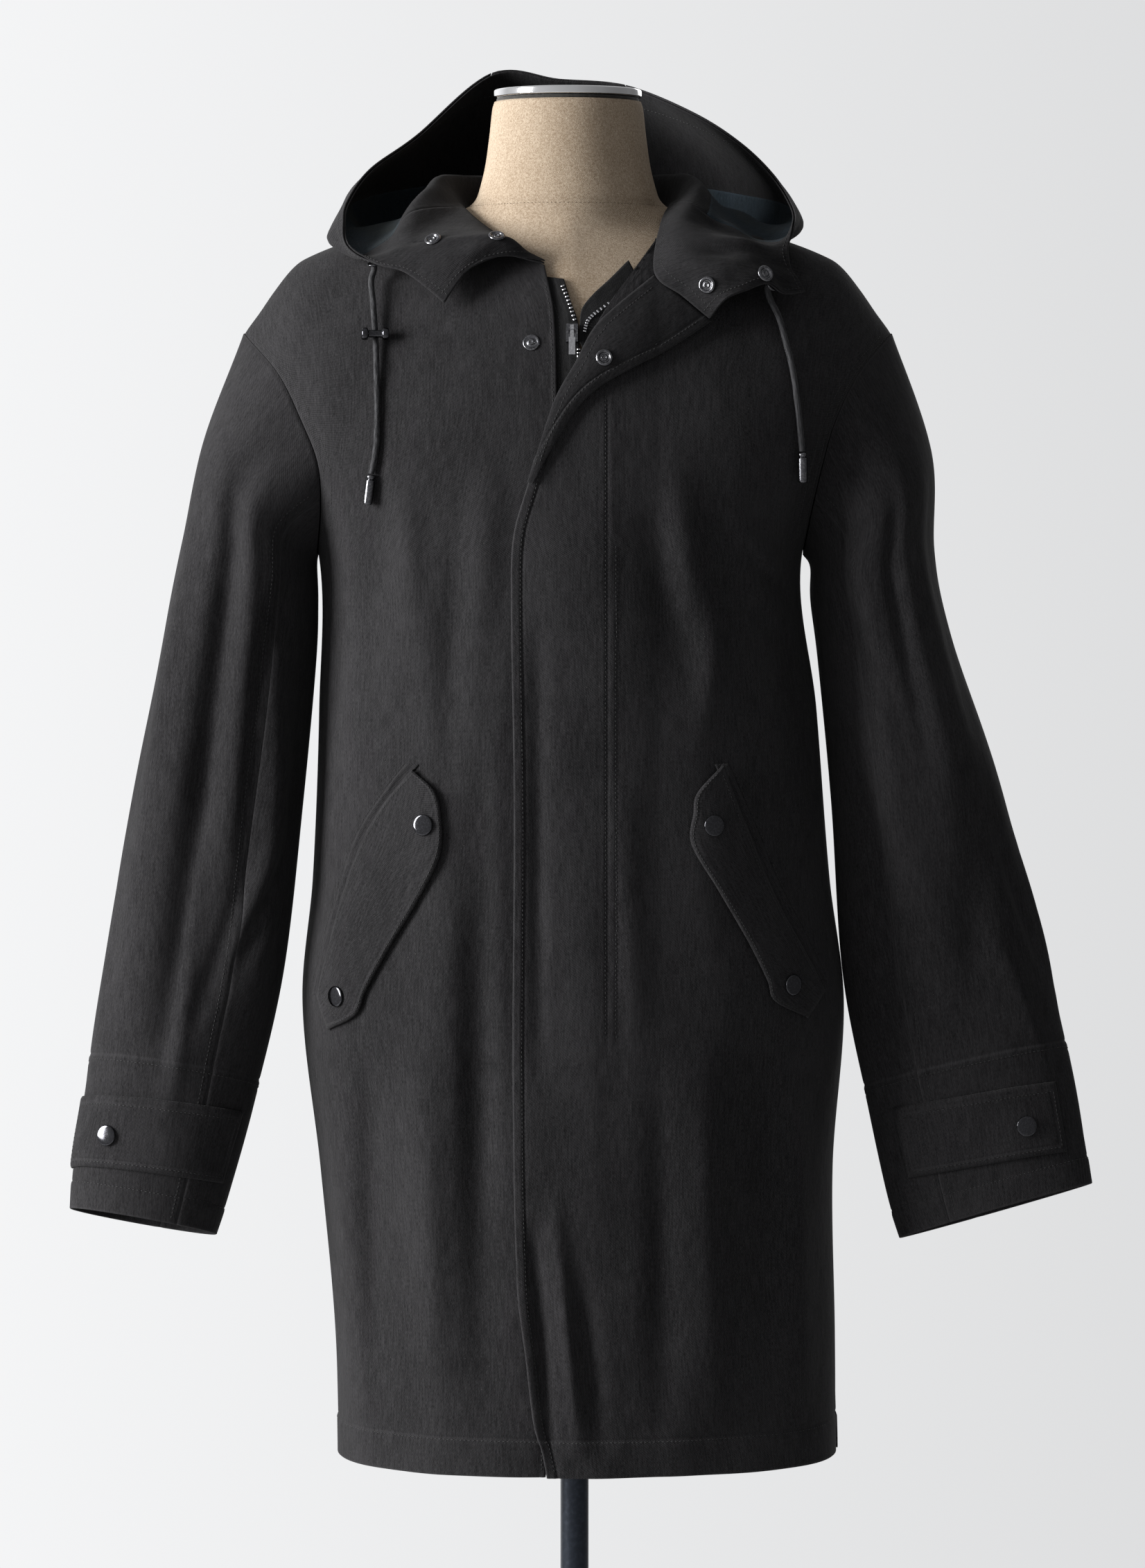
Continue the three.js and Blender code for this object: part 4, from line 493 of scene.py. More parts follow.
def make_mesh(name, verts, faces, look, replaces=(), uv=None, seam=None, smooth=True):
    """A mesh in mm, with its look: a material, and a slot that is not used."""
    mat, slot = look
    me = bpy.data.meshes.new(name)
    me.from_pydata((np.asarray(verts) * MM).tolist(), [], [list(f) for f in faces])
    me.validate()
    if uv is not None:
        index = np.zeros(len(me.loops), int)
        me.loops.foreach_get("vertex_index", index)
        me.uv_layers.new(name="cloth").data.foreach_set("uv", (np.asarray(uv)[index] * MM).astype(np.float32).ravel())
    if seam is not None:
        me.attributes.new("seam", "FLOAT", "POINT").data.foreach_set("value", np.asarray(seam, np.float32))
    me.polygons.foreach_set("use_smooth", [smooth] * len(me.polygons))
    me.materials.append(mat)
    ob = bpy.data.objects.new(name, me)
    bpy.context.collection.objects.link(ob)
    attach(ob, BODY)
    if replaces:
        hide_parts(*replaces)
    return ob


def cloth(name, grid, toward, thick, look, replaces=(), lift=0.0, rise=0.0, seam=None):
    """A sheet with thickness and rounded borders; its outer face is raised by rise (mm) along the normals."""
    n = normals(grid, toward)
    base = grid + n * np.broadcast_to(np.asarray(rise, float), grid.shape[:2])[..., None]
    n = normals(base, toward)
    outer = base + n * lift
    inner = outer - n * thick
    rows, cols = grid.shape[:2]
    ids = np.arange(rows * cols).reshape(rows, cols)
    ring = np.concatenate([ids[0, :-1], ids[:-1, -1], ids[-1, :0:-1], ids[:0:-1, 0]])
    edge = np.zeros_like(grid)
    edge[0] += unit(base[0] - base[1])
    edge[-1] += unit(base[-1] - base[-2])
    edge[:, 0] += unit(base[:, 0] - base[:, 1])
    edge[:, -1] += unit(base[:, -1] - base[:, -2])
    rim = ((outer + inner) / 2 + unit(edge) * thick * 0.42).reshape(-1, 3)[ring]
    total = rows * cols
    a, b, c, d = ids[:-1, :-1].ravel(), ids[:-1, 1:].ravel(), ids[1:, 1:].ravel(), ids[1:, :-1].ravel()
    k = np.arange(len(ring))
    r0, r1, m0, m1 = ring, np.roll(ring, -1), 2 * total + k, 2 * total + np.roll(k, -1)
    faces = np.vstack([np.stack([a, b, c, d], 1), np.stack([d, c, b, a], 1) + total, np.stack([r1, r0, m0, m1], 1),
                       np.stack([m1, m0, r0 + total, r1 + total], 1)])
    if np.dot(np.cross(outer[0, 1] - outer[0, 0], outer[1, 0] - outer[0, 0]), n[0, 0]) < 0:
        faces = faces[:, ::-1]
    u, v = spans(grid)
    uv = np.stack([u - u.mean(1, keepdims=True), v], -1).reshape(-1, 2)
    seam = np.full(total, NO_SEAM) if seam is None else np.asarray(seam).ravel()
    ob = make_mesh(name, np.vstack([outer.reshape(-1, 3), inner.reshape(-1, 3), rim]), faces, look, replaces,
                   np.vstack([uv, uv, uv[ring]]), np.concatenate([seam, seam, np.zeros(len(ring))]))
    area = (grid_area(outer) + grid_area(inner)) / 2
    wide, long = float(u[:, -1].max()), float(v[-1].max())
    if area > wide * long:
        wide = area / long * 1.0001
    return ob


def skin(ob):
    me = ob.data
    co = np.zeros(len(me.vertices) * 3)
    me.vertices.foreach_get("co", co)
    return BVHTree.FromPolygons(co.reshape(-1, 3).tolist(), [p.vertices[:] for p in me.polygons])


THREADS = {}


def stitch(group, tree, path, pitch=3.2, length=2.3, radius=0.34):
    """A row of stitches along a path (mm) that is laid on to a skin."""
    path = np.asarray(path, float)
    s = np.concatenate([[0], np.cumsum(np.linalg.norm(np.diff(path, axis=0), axis=1))])
    at = np.arange(pitch / 2, s[-1], pitch)
    points = np.stack([np.interp(at, s, path[:, i]) for i in range(3)], 1)
    ahead = unit(np.stack([np.interp(at + 0.6, s, path[:, i]) - np.interp(at - 0.6, s, path[:, i])
                           for i in range(3)], 1))
    for p, along in zip(points, ahead):
        hit, n, _, _ = tree.find_nearest(Vector(p * MM))
        n = np.array(n)
        if np.dot(n, p - np.array(hit) / MM) < 0:
            n = -n
        along = unit(along - n * np.dot(along, n))
        cross = np.cross(n, along)
        middle = np.array(hit) / MM + n * radius * 0.25
        verts, faces = THREADS.setdefault(group, ([], []))
        start = len(verts)
        for share, wide in ((-0.5, 0.35), (0, 1), (0.5, 0.35)):
            for c, h in ((1, 0), (0, 1), (-1, 0), (0, -1)):
                verts.append(middle + along * share * length + (cross * c + n * h) * radius * wide
                             - n * (0.3 * radius if share else 0))
        for r in (0, 4):
            faces += [(start + r + i, start + r + (i + 1) % 4, start + r + 4 + (i + 1) % 4, start + r + 4 + i)
                      for i in range(4)]
        faces += [(start + 3, start + 2, start + 1, start), (start + 8, start + 9, start + 10, start + 11)]


def lathe(name, profile, base, axis, look, replaces=(), sides=40):
    """A turned piece from its profile of (radius, height) along an axis; all in mm."""
    axis = unit(np.asarray(axis, float))
    first = unit(np.cross(axis, [0, 0, 1] if abs(axis[2]) < 0.9 else [1, 0, 0]))
    second = np.cross(axis, first)
    turn = np.linspace(0, 2 * math.pi, sides, endpoint=False)
    spokes = np.cos(turn)[:, None] * first + np.sin(turn)[:, None] * second
    verts, rows = [], []
    for r, h in profile:
        if r == 0:
            rows.append([len(verts)] * sides)
            verts.append(np.asarray(base) + axis * h)
        else:
            rows.append(list(range(len(verts), len(verts) + sides)))
            verts += list(np.asarray(base) + axis * h + spokes * r)
    faces = []
    for low, high in zip(rows, rows[1:]):
        for i in range(sides):
            j = (i + 1) % sides
            f = [low[i], low[j], high[j], high[i]]
            f = [q for k, q in enumerate(f) if q != f[k - 1]]
            if len(f) > 2:
                faces.append(f)
    uv = [(math.atan2(np.dot(v - base, second), np.dot(v - base, first)) * 20, np.dot(v - base, axis)) for v in verts]
    return make_mesh(name, verts, faces, look, replaces, uv)


def closed_tube(name, rings, look, replaces, u, v):
    """A tube through rings of points with both ends closed; u and v lay its weave."""
    rows, sides = rings.shape[:2]
    ids = np.arange(rows * sides).reshape(rows, sides)
    nxt = np.roll(ids, -1, 1)
    faces = np.stack([ids[:-1], nxt[:-1], nxt[1:], ids[1:]], -1).reshape(-1, 4).tolist()
    faces += [ids[0, ::-1].tolist(), ids[-1].tolist()]
    uv = np.stack([np.broadcast_to(u, ids.shape), np.broadcast_to(v, ids.shape)], -1)
    return make_mesh(name, rings.reshape(-1, 3), faces, look, replaces, uv.reshape(-1, 2),
                     np.full(rows * sides, NO_SEAM))


def rounded(points, cut=0.35, rounds=2):
    """A profile with its corners eased, its two ends kept."""
    p = np.asarray(points, float)
    for _ in range(rounds):
        a, b = p[:-1], p[1:]
        inner = np.stack([mix(a, b, cut * 0.7), mix(a, b, 1 - cut * 0.7)], 1).reshape(-1, 2)
        p = np.vstack([p[:1], inner[1:-1], p[-1:]])
    return p.tolist()


def seat_of(node, long=False):
    """Foot and axis (mm) of a turned CAD node, the axis towards its narrow end."""
    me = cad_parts[node].data
    v = np.zeros(len(me.vertices) * 3)
    me.vertices.foreach_get("co", v)
    v = np.unique((v.reshape(-1, 3) / MM).round(3), axis=0)
    c = v.mean(0)
    _, vectors = np.linalg.eigh(np.cov((v - c).T))
    axis = vectors[:, 2 if long else 0]
    h = (v - c) @ axis
    radial = np.linalg.norm((v - c) - h[:, None] * axis, axis=1)
    rim = radial > 0.45 * radial.max()
    if np.dot(h[rim] - h[rim].mean(), radial[rim] - radial[rim].mean()) > 0:
        axis, h = -axis, -h
    return c + axis * h.min(), axis


# ---------------------------------------------------------------- materials
def new_mat(name):
    m = bpy.data.materials.new(name)
    m.use_nodes = True
    return m, m.node_tree, m.node_tree.nodes["Principled BSDF"]


def node(t, kind, **values):
    n = t.nodes.new(kind)
    for key, value in values.items():
        if key in n.inputs:
            n.inputs[key].default_value = value
        else:
            setattr(n, key, value)
    return n


def ramp(t, fac, stops):
    r = t.nodes.new("ShaderNodeValToRGB")
    r.color_ramp.elements[0].position, r.color_ramp.elements[0].color = stops[0][0], (*stops[0][1], 1)
    r.color_ramp.elements[1].position, r.color_ramp.elements[1].color = stops[-1][0], (*stops[-1][1], 1)
    t.links.new(fac, r.inputs[0])
    return r.outputs[0]


def calc(t, op, a, b=None):
    n = t.nodes.new("ShaderNodeMath")
    n.operation = op
    for i, v in enumerate((a, b)):
        if isinstance(v, (int, float)):
            n.inputs[i].default_value = v
        elif v is not None:
            t.links.new(v, n.inputs[i])
    return n.outputs[0]


def noise(t, vector, scale, stretch=(1, 1, 1), detail=2.0, rough=0.5):
    mp = t.nodes.new("ShaderNodeMapping")
    mp.inputs["Scale"].default_value = stretch
    t.links.new(vector, mp.inputs[0])
    n = node(t, "ShaderNodeTexNoise", Scale=scale, Detail=detail, Roughness=rough)
    t.links.new(mp.outputs[0], n.inputs["Vector"])
    return n.outputs[0]


def relief(t, height, strength, distance, under=None):
    b = node(t, "ShaderNodeBump", Strength=strength, Distance=distance)
    t.links.new(height, b.inputs["Height"])
    if under is not None:
        t.links.new(under, b.inputs["Normal"])
    return b.outputs[0]


def over(t, fac, below, colour):
    mx = node(t, "ShaderNodeMix", data_type="RGBA")
    t.links.new(fac, mx.inputs["Factor"])
    t.links.new(below, mx.inputs["A"])
    mx.inputs["B"].default_value = (*colour, 1)
    return mx.outputs["Result"]


TWILL_ANGLE = math.radians(62)
PUCKER_REACH, RUB_REACH = 6, 1.4     # mm to each side of a seam


def cloth_mat(name, slot, dark, light, lint=0.5, thread=2600, rib=300, sheen=0.03, bump=0.5, rough=0.9, crush=0.35,
              tint=None, chevron=None, plain=False):
    """Woven cloth: slubs along the grain, a twill or herringbone (chevron) line, a soft mottle, puckered
    and rubbed seams, and a little lint; plain has an even grain all ways."""
    m, t, bsdf = new_mat(name)
    add, sub, mul, most = (partial(calc, t, op) for op in ("ADD", "SUBTRACT", "MULTIPLY", "MAXIMUM"))
    uv = node(t, "ShaderNodeUVMap", uv_map="cloth").outputs[0]
    co = t.nodes.new("ShaderNodeTexCoord").outputs["Object"]
    warp = noise(t, co, thread, (1, 1, 1), 1.0) if plain else noise(t, uv, thread, (1, 0.16, 1), 1.0)
    streak = noise(t, co, 620, (1, 1, 1), 2.0) if plain else noise(t, uv, 760, (1, 0.09, 1), 2.0)
    mottle = noise(t, co, 14, (1, 1, 0.35), 4.0, 0.6)
    if chevron:
        xyz = t.nodes.new("ShaderNodeSeparateXYZ")
        t.links.new(uv, xyz.inputs[0])
        zig = calc(t, "ABSOLUTE", sub(calc(t, "MODULO", add(xyz.outputs[0], 1.0), chevron), chevron / 2))
        wave = calc(t, "SINE", mul(add(xyz.outputs[1], zig), rib * 2 * math.pi))
        line = add(mul(wave, 0.5), 0.5)
    else:
        turned = t.nodes.new("ShaderNodeMapping")
        turned.inputs["Rotation"].default_value = (0, 0, TWILL_ANGLE)
        t.links.new(uv, turned.inputs[0])
        wave = node(t, "ShaderNodeTexWave", Scale=rib, Distortion=1.2, Detail=1.0)
        t.links.new(turned.outputs[0], wave.inputs["Vector"])
        line = wave.outputs["Fac"]
    seam = node(t, "ShaderNodeAttribute", attribute_name="seam").outputs["Fac"]
    pucker = most(sub(1.0, mul(seam, 1 / PUCKER_REACH)), 0.0)
    rub = mul(most(sub(1.0, mul(seam, 1 / RUB_REACH)), 0.0), 0.12)
    tone = add(add(add(mul(mottle, 0.34), mul(streak, 0.36)), mul(warp, 0.5)), mul(line, 0.12))
    colour = ramp(t, add(tone, rub), [(0.52, dark), (0.80, light)])
    if tint:
        cloud = noise(t, co, 9, (1, 1, 1), 3.0, 0.6)
        colour = over(t, ramp(t, cloud, [(0.5, (0, 0, 0)), (0.66, (1, 1, 1))]), colour, tint)
    if lint:
        specks = node(t, "ShaderNodeTexVoronoi", Scale=150.0)
        t.links.new(co, specks.inputs["Vector"])
        fluff = mul(calc(t, "LESS_THAN", specks.outputs["Distance"], 0.05 * lint), 0.4)
        colour = over(t, fluff, colour, (0.2, 0.19, 0.18))
    t.links.new(colour, bsdf.inputs["Base Color"])
    n = relief(t, add(mul(warp, 0.8), mul(line, 0.5)), bump, 0.00025)
    n = relief(t, noise(t, co, 42, (1, 1, 0.55), 3.0, 0.55), crush, 0.005, n)
    n = relief(t, mul(noise(t, uv, 170, (1, 1, 1), 1.0), pucker), 0.4, 0.0014, n)
    t.links.new(n, bsdf.inputs["Normal"])
    for socket, value in (("Roughness", rough), ("Specular IOR Level", 0.07), ("Sheen Weight", sheen),
                          ("Sheen Roughness", 0.5)):
        bsdf.inputs[socket].default_value = value
    return m, slot


def hard_mat(name, slot, colour, rough, metal, wear=(0, 0, 0), scale=900, bump=0.05):
    m, t, bsdf = new_mat(name)
    co = t.nodes.new("ShaderNodeTexCoord").outputs["Object"]
    grain = noise(t, co, scale, detail=3.0)
    light = tuple(min(1, c + w) for c, w in zip(colour, wear))
    t.links.new(ramp(t, grain, [(0.45, colour), (0.75, light)]), bsdf.inputs["Base Color"])
    r = t.nodes.new("ShaderNodeMapRange")
    r.inputs["To Min"].default_value, r.inputs["To Max"].default_value = rough * 0.8, min(1, rough * 1.25)
    t.links.new(grain, r.inputs["Value"])
    t.links.new(r.outputs[0], bsdf.inputs["Roughness"])
    t.links.new(relief(t, grain, bump, 0.0003), bsdf.inputs["Normal"])
    bsdf.inputs["Metallic"].default_value = metal
    return m, slot


TWILL = cloth_mat("twill", "twill", (0.0056, 0.0054, 0.0058), (0.0235, 0.0227, 0.0240), bump=0.8)
# the facing is made darker than the twill: painted shade inside the hood and on the turned front
FACING_SHADE_DARKENED = cloth_mat("facing", "facing", (0.0042, 0.0041, 0.0044), (0.0168, 0.0163, 0.0173), lint=0.3, bump=0.7)
DENIM = cloth_mat("lining", "lining", (0.0062, 0.0095, 0.0122), (0.019, 0.0265, 0.0335), lint=0.3, bump=0.7,
                  tint=(0.018, 0.021, 0.019))
TAPE = cloth_mat("tape", "zip_tape", (0.005, 0.005, 0.0052), (0.017, 0.017, 0.0175), lint=0, rib=800, bump=0.9,
                 chevron=0.005)
CORD = cloth_mat("cord", "cord", (0.008, 0.008, 0.0085), (0.05, 0.05, 0.053), lint=0.2, thread=900, rib=500,
                 bump=0.8, rough=0.42)
LINEN = cloth_mat("linen", "linen", (0.205, 0.150, 0.10), (0.385, 0.316, 0.24), lint=0, thread=1500, rib=520,
                  bump=0.9, crush=0.05, plain=True)
FELT = cloth_mat("felt", "felt", (0.011, 0.0105, 0.010), (0.026, 0.025, 0.023), lint=0, sheen=0.3)
THREAD = hard_mat("thread", "twill", (0.004, 0.004, 0.0043), 0.7, 0, (0.006, 0.006, 0.006))
FLAX = hard_mat("linen_thread", "linen", (0.10, 0.072, 0.045), 0.8, 0, (0.04, 0.03, 0.02))
BLACK_METAL = hard_mat("black_metal", "black_metal", (0.045, 0.045, 0.049), 0.1, 1.0, (0.03, 0.03, 0.034), bump=0.01)
NICKEL = hard_mat("worn_nickel", "black_metal", (0.42, 0.42, 0.44), 0.24, 1.0, (0.2, 0.2, 0.2), 700, 0.05)
GUNMETAL = hard_mat("gunmetal", "black_metal", (0.10, 0.10, 0.108), 0.22, 1.0, (0.12, 0.12, 0.12), 700, 0.04)
CHROME = hard_mat("chrome", "chrome", (0.72, 0.72, 0.73), 0.09, 1.0, (0.05, 0.05, 0.05), 60, 0.01)
STEEL = hard_mat("dark_steel", "dark_steel", (0.012, 0.016, 0.024), 0.3, 0.6, (0.01, 0.012, 0.016), 300, 0.03)

# ---------------------------------------------------------------- drawcords, their tips and the cord lock
TIP = rounded([(0, 0), (2.4, 0.1), (3.3, 1.2), (3.2, 2.8), (2.3, 3.6)]) + rounded(
    [(2.3, 3.9), (3.3, 4.1), (3.5, 5), (3.5, 20.4), (3.3, 21.5), (2.5, 22), (0, 22)])
LOCK_LONG = 20
LOCK_END = [(0, 0), (3.2, 0), (4.1, 0.3), (4.5, 1.0), (4.55, 2.4), (4.5, 3.9), (4.1, 4.6), (3.3, 4.9), (2.9, 5.1),
            (2.75, 5.6)]
lock = lathe("cord_lock_barrel", LOCK_END + [(r, LOCK_LONG - h) for r, h in LOCK_END[::-1]],
             *seat_of("cord_lock", True), BLACK_METAL, ["cord_lock"], 36)
CORD_STEPS, CORD_SIDES, BRAID_PITCH, PATH_STRIDE = 400, 24, 7.5, 12
for name, route in (("right", CORD_RIGHT), ("left", CORD_LEFT)):
    path = through(np.array(route, float), np.linspace(0, len(route) - 1, CORD_STEPS + 1), 0)
    ahead = unit(np.gradient(path, axis=0))
    side_way = [unit(np.cross(ahead[0], [0, 1, 0]))]
    for a in ahead[1:]:
        side_way.append(unit(side_way[-1] - a * np.dot(side_way[-1], a)))
    side_way = np.array(side_way)
    other = np.cross(ahead, side_way)
    run = np.concatenate([[0], np.cumsum(np.linalg.norm(np.diff(path, axis=0), axis=1))])
    turn = np.linspace(0, 2 * math.pi, CORD_SIDES, endpoint=False)[None]
    lay = run[:, None] * (2 * math.pi / BRAID_PITCH)
    radius = CORD_R * (0.95 + 0.05 * np.abs(np.sin(4 * turn + lay) * np.sin(4 * turn - lay)))
    spokes = np.cos(turn)[..., None] * side_way[:, None] + np.sin(turn)[..., None] * other[:, None]
    cord = closed_tube(f"drawcord_{name}_braid", path[:, None] + radius[..., None] * spokes, CORD,
                       [f"drawcord_{name}"], turn * CORD_R, run[:, None])
    pull = unit(np.array(TIP_END[name]) - path[-1])
    tip = lathe(f"cord_tip_{name}_metal", TIP, path[-1] + pull * 2 * SEAM_GAP, pull, GUNMETAL,
                [f"cord_tip_{name}"], 32)

# ---------------------------------------------------------------- dress form
turn = np.linspace(0, 2 * math.pi, 120, endpoint=False)
NECK_SEAM_Z = 1485               # where the neck of the form is sewn on
SKIN_U = 62                      # mean radius that lays the linen's weave round the form


def form_ring(z):
    half, ahead, behind = sample(FORM, z)
    reach = min(half, max(x for x in np.arange(0, 262, 0.5) if ridge_z(NECK_X - x) >= z + FORM_LIFT))
    inset = mix(BODY_INSET, NECK_INSET, np.clip((z - 1460) / 20, 0, 1))
    share = np.cos(turn)
    rear = np.sin(turn) > 0
    x = NECK_X + reach * share
    room = np.where(rear, trunk_depth(x, z + FORM_LIFT, True), trunk_depth(x, z + FORM_LIFT, False))
    depth = np.minimum(np.maximum(room - inset, 0.5), np.where(rear, behind, ahead)) * np.cbrt(1 - np.abs(share) ** 3)
    foot = NECK_FOOT ** 2 - (reach * share) ** 2
    column = np.where(foot > 0, np.sqrt(np.maximum(foot, 0)) + (SIDE_Y - NECK_Y) * np.where(rear, -1, 1), 0)
    depth = np.maximum(depth, column)
    return np.stack([x, SIDE_Y + np.where(rear, depth, -depth), np.full_like(x, z)], -1)


def neck_ring(z):
    r = sample(NECK, z)[0]
    return np.stack([NECK_X + r * np.cos(turn), NECK_Y + r * np.sin(turn), np.full_like(turn, z)], -1)


torso_rows = np.concatenate([[850, 852, 855], np.linspace(860, 1440, 100), np.arange(1444, 1481, 4)])
rings = [form_ring(z) for z in torso_rows]
low, high = rings[-1], neck_ring(1487)
rings += [mix(low, high, s) for s in (0.33, 0.67)] + [neck_ring(z) for z in np.linspace(1487, 1561, 38)]
rings = np.array(rings)
for _ in range(6):
    soft = (rings[:-2] + 2 * rings[1:-1] + rings[2:]) / 4
    change = step(1440, 1470, rings[1:-1, :, 2:]) * (1 - step(1500, 1530, rings[1:-1, :, 2:]))
    rings[1:-1] = mix(rings[1:-1], soft, change)
rings[0, :, :2] = mix(np.array([NECK_X, SIDE_Y]), rings[0, :, :2], 0.985)
rings[..., :2] = mix(rings[..., :2], [NECK_X, NECK_Y], 0.009 * near(rings[..., 2:], NECK_SEAM_Z, 1.5))
form = closed_tube("form_body_linen", rings, LINEN, ["form_torso"], turn * SKIN_U, rings[..., 2])
neck_seam = rings[np.argmin(np.abs(rings[:, 0, 2] - NECK_SEAM_Z))]
stitch("form_neck_stitches", skin(form), np.vstack([neck_seam, neck_seam[:1]]), 3.0, 1.6, 0.3)
FELT_RING = rounded([(0, 0), (52, 0), (52.5, 0.5), (52.5, 1.9), (52, 2.4), (0, 2.4)])
CAP = rounded([(0, 0), (53.2, 0), (54.2, 0.5), (54.5, 1.4), (54.5, 4.6), (54.1, 5.6), (53, 6), (47, 6), (46.4, 5.7),
               (45.8, 6), (0, 6)])
POLE = rounded([(0, 0), (10.2, 0), (10.5, 0.4), (10.5, 801), (10.2, 801.4), (0, 801.4)], 0.1, 1)
BASE = rounded([(0, 0), (189, 0), (190, 1), (190, 6.5), (188.6, 9), (186, 10), (120, 10.8), (24, 12), (18.5, 13.5),
                (17, 17), (17, 46.6), (16.4, 47.6), (15.4, 48), (0, 48)], 0.2, 2)
for name, profile, foot, look, replaced, sides in (
        ("form_felt_ring", FELT_RING, (NECK_X, NECK_Y, 1561.3), FELT, "form_felt", 96),
        ("form_cap_chrome", CAP, (NECK_X, NECK_Y, 1564), CHROME, "form_cap", 120),
        ("form_pole_tube", POLE, (0, 0, 48.3), STEEL, "form_pole", 64),
        ("form_base_plate", BASE, (0, 0, 0), STEEL, "form_base", 160)):
    lathe(name, profile, foot, (0, 0, 1), look, [replaced], sides)

# ---------------------------------------------------------------- front and back panels
def trunk_out(grid):
    return np.stack([grid[..., 0], (grid[..., 1] - SIDE_Y) * 1.3, np.full(grid.shape[:2], 20.0)], -1)


def edge_x(side, z):
    return sample(PLACKET_EDGE if side > 0 else ZIP_EDGE, z)[..., 0]


HEM_FOLD, HEM_STITCHES = 26.5, 26.6      # height of the hem's fold and of its stitches
EDGE_STITCHES = {-1: 3.2, 1: 7}          # the front edges' stitches, in from the edge, and where they end
EDGE_STITCH_TOP = {-1: 1425, 1: 1340}
ZIP_SEAM = (23.3, 30.5)                  # two rows that hold the zip, down the left front
ZIP_SEAM_FOOT, ZIP_SEAM_TOPS = 882, (1345, 1238)
ZIP_SEAM_SETS_IN, ZIP_SEAM_FADES = (876, 884), (1335, 1352)
PANEL_SIDE = 186                         # where the hem's stitches end at the side seams
ARMHOLE_ROWS = (1.6, 6.8)                # the armhole's stitches, in from the seam
ABOVE = 2.5                              # how far off the cloth a path lies before it is laid on
armhole_run = np.linspace(ARMPIT_Z + 6, TIP_Z - 2, 60)


def hem_rise(z):
    return 0.8 * (1 - step(25.5, 27.5, z - HEM_Z)) - 0.8 * near(z, HEM_Z + HEM_STITCHES, 1.5)


def hem_wave(x, z, wide, fine, shift=0):
    """Slow waves that fade out 60 mm above the hem."""
    return (0.9 * np.sin(x / wide + shift) + 0.5 * np.sin(x / fine)) * (1 - step(0, 60, z - HEM_Z))


SKINS = {}


def on_front(side, xs, zs):
    xs, zs = np.broadcast_arrays(np.asarray(xs, float), np.asarray(zs, float))
    over = overlap_lift(xs) if side > 0 else 0
    stitch("topstitching_front", SKINS[side], front_point(xs, zs, over + ABOVE))


for side, name in SIDES:
    c = np.concatenate([np.arange(0, 0.24, 0.003), np.linspace(0.24, 1, 76)]) if side > 0 else \
        np.concatenate([np.arange(0, 0.06, 0.005), np.linspace(0.06, 1, 96)])
    x, z = front_grid(side, c)
    grid = front_point(x, z, overlap_lift(x) if side > 0 else 0.0)
    inside = (x - edge_x(side, z)) * side
    rise = hem_rise(z)
    seam = np.minimum(border_distance(grid, (0, 3)), np.abs(z - HEM_Z - HEM_FOLD))
    if side > 0:
        held = step(*ZIP_SEAM_SETS_IN, z) * (1 - step(*ZIP_SEAM_FADES, z))
        rise = rise + 0.75 * (1 - step(6, 7.6, inside)) - 0.75 * near(inside, EDGE_STITCHES[1], 1.1)
        rise = rise + held * (0.5 * (1 - step(30, 33, x)) - 0.8 * near(x, ZIP_SEAM[0], 1.4)
                              - 0.7 * near(x, ZIP_SEAM[1], 1.4))
        to_rows = np.minimum(np.abs(x - ZIP_SEAM[0]), np.abs(x - ZIP_SEAM[1]))
        seam = np.minimum(seam, np.minimum(inside, np.where(held > 0, to_rows, NO_SEAM)))
    else:
        rise = rise + 0.4 * (1 - step(2.6, 3.8, inside)) - 0.3 * near(inside, EDGE_STITCHES[-1], 0.8)
        seam = np.minimum(seam, np.abs(inside))
    rise = rise + hem_wave(x, z, 21, 9, side)
    SKINS[side] = skin(cloth(f"panel_front_{name}", grid, trunk_out(grid), SHELL, TWILL, [f"front_{name}"],
                             rise=rise, seam=seam))
    on_front(side, np.linspace(edge_x(side, HEM_Z + 26) + side * 4, side * PANEL_SIDE, 160), HEM_Z + HEM_STITCHES)
    zs = np.linspace(HEM_Z + 4, EDGE_STITCH_TOP[side], 220)
    on_front(side, edge_x(side, zs) + side * EDGE_STITCHES[side], zs)
    for inset in ARMHOLE_ROWS:
        on_front(side, armhole_x(side, armhole_run) - side * inset, armhole_run)
    if side > 0:
        for sx, high in zip(ZIP_SEAM, ZIP_SEAM_TOPS):
            on_front(side, sx, np.linspace(ZIP_SEAM_FOOT, high, 160))

x, z = back_grid(np.linspace(-1, 1, 141))
grid = back_point(x, z)
seam = np.minimum(border_distance(grid, (0,)), np.abs(z - HEM_Z - HEM_FOLD))
BACK_SKIN = skin(cloth("panel_back", grid, trunk_out(grid), SHELL, TWILL, ["back"],
                       rise=hem_rise(z) + hem_wave(x, z, 23, 10), seam=seam))
back_lines = [(np.linspace(-PANEL_SIDE, PANEL_SIDE, 260), HEM_Z + HEM_STITCHES)]
back_lines += [(armhole_x(side, armhole_run) - side * inset, armhole_run) for side, _ in SIDES
               for inset in ARMHOLE_ROWS]
for xs, zs in back_lines:
    stitch("topstitching_back", BACK_SKIN, back_point(xs, zs) + [0, ABOVE, 0])

# ---------------------------------------------------------------- sleeves and cuff tabs
CUFF_SEAM = {-1: 0.729, 1: 0.7245}
CUFF_ROWS = np.concatenate([np.linspace(0, 0.7, 96), np.linspace(0.704, 0.755, 26), np.linspace(0.762, 0.93, 32),
                            np.linspace(0.934, 1, 26)])


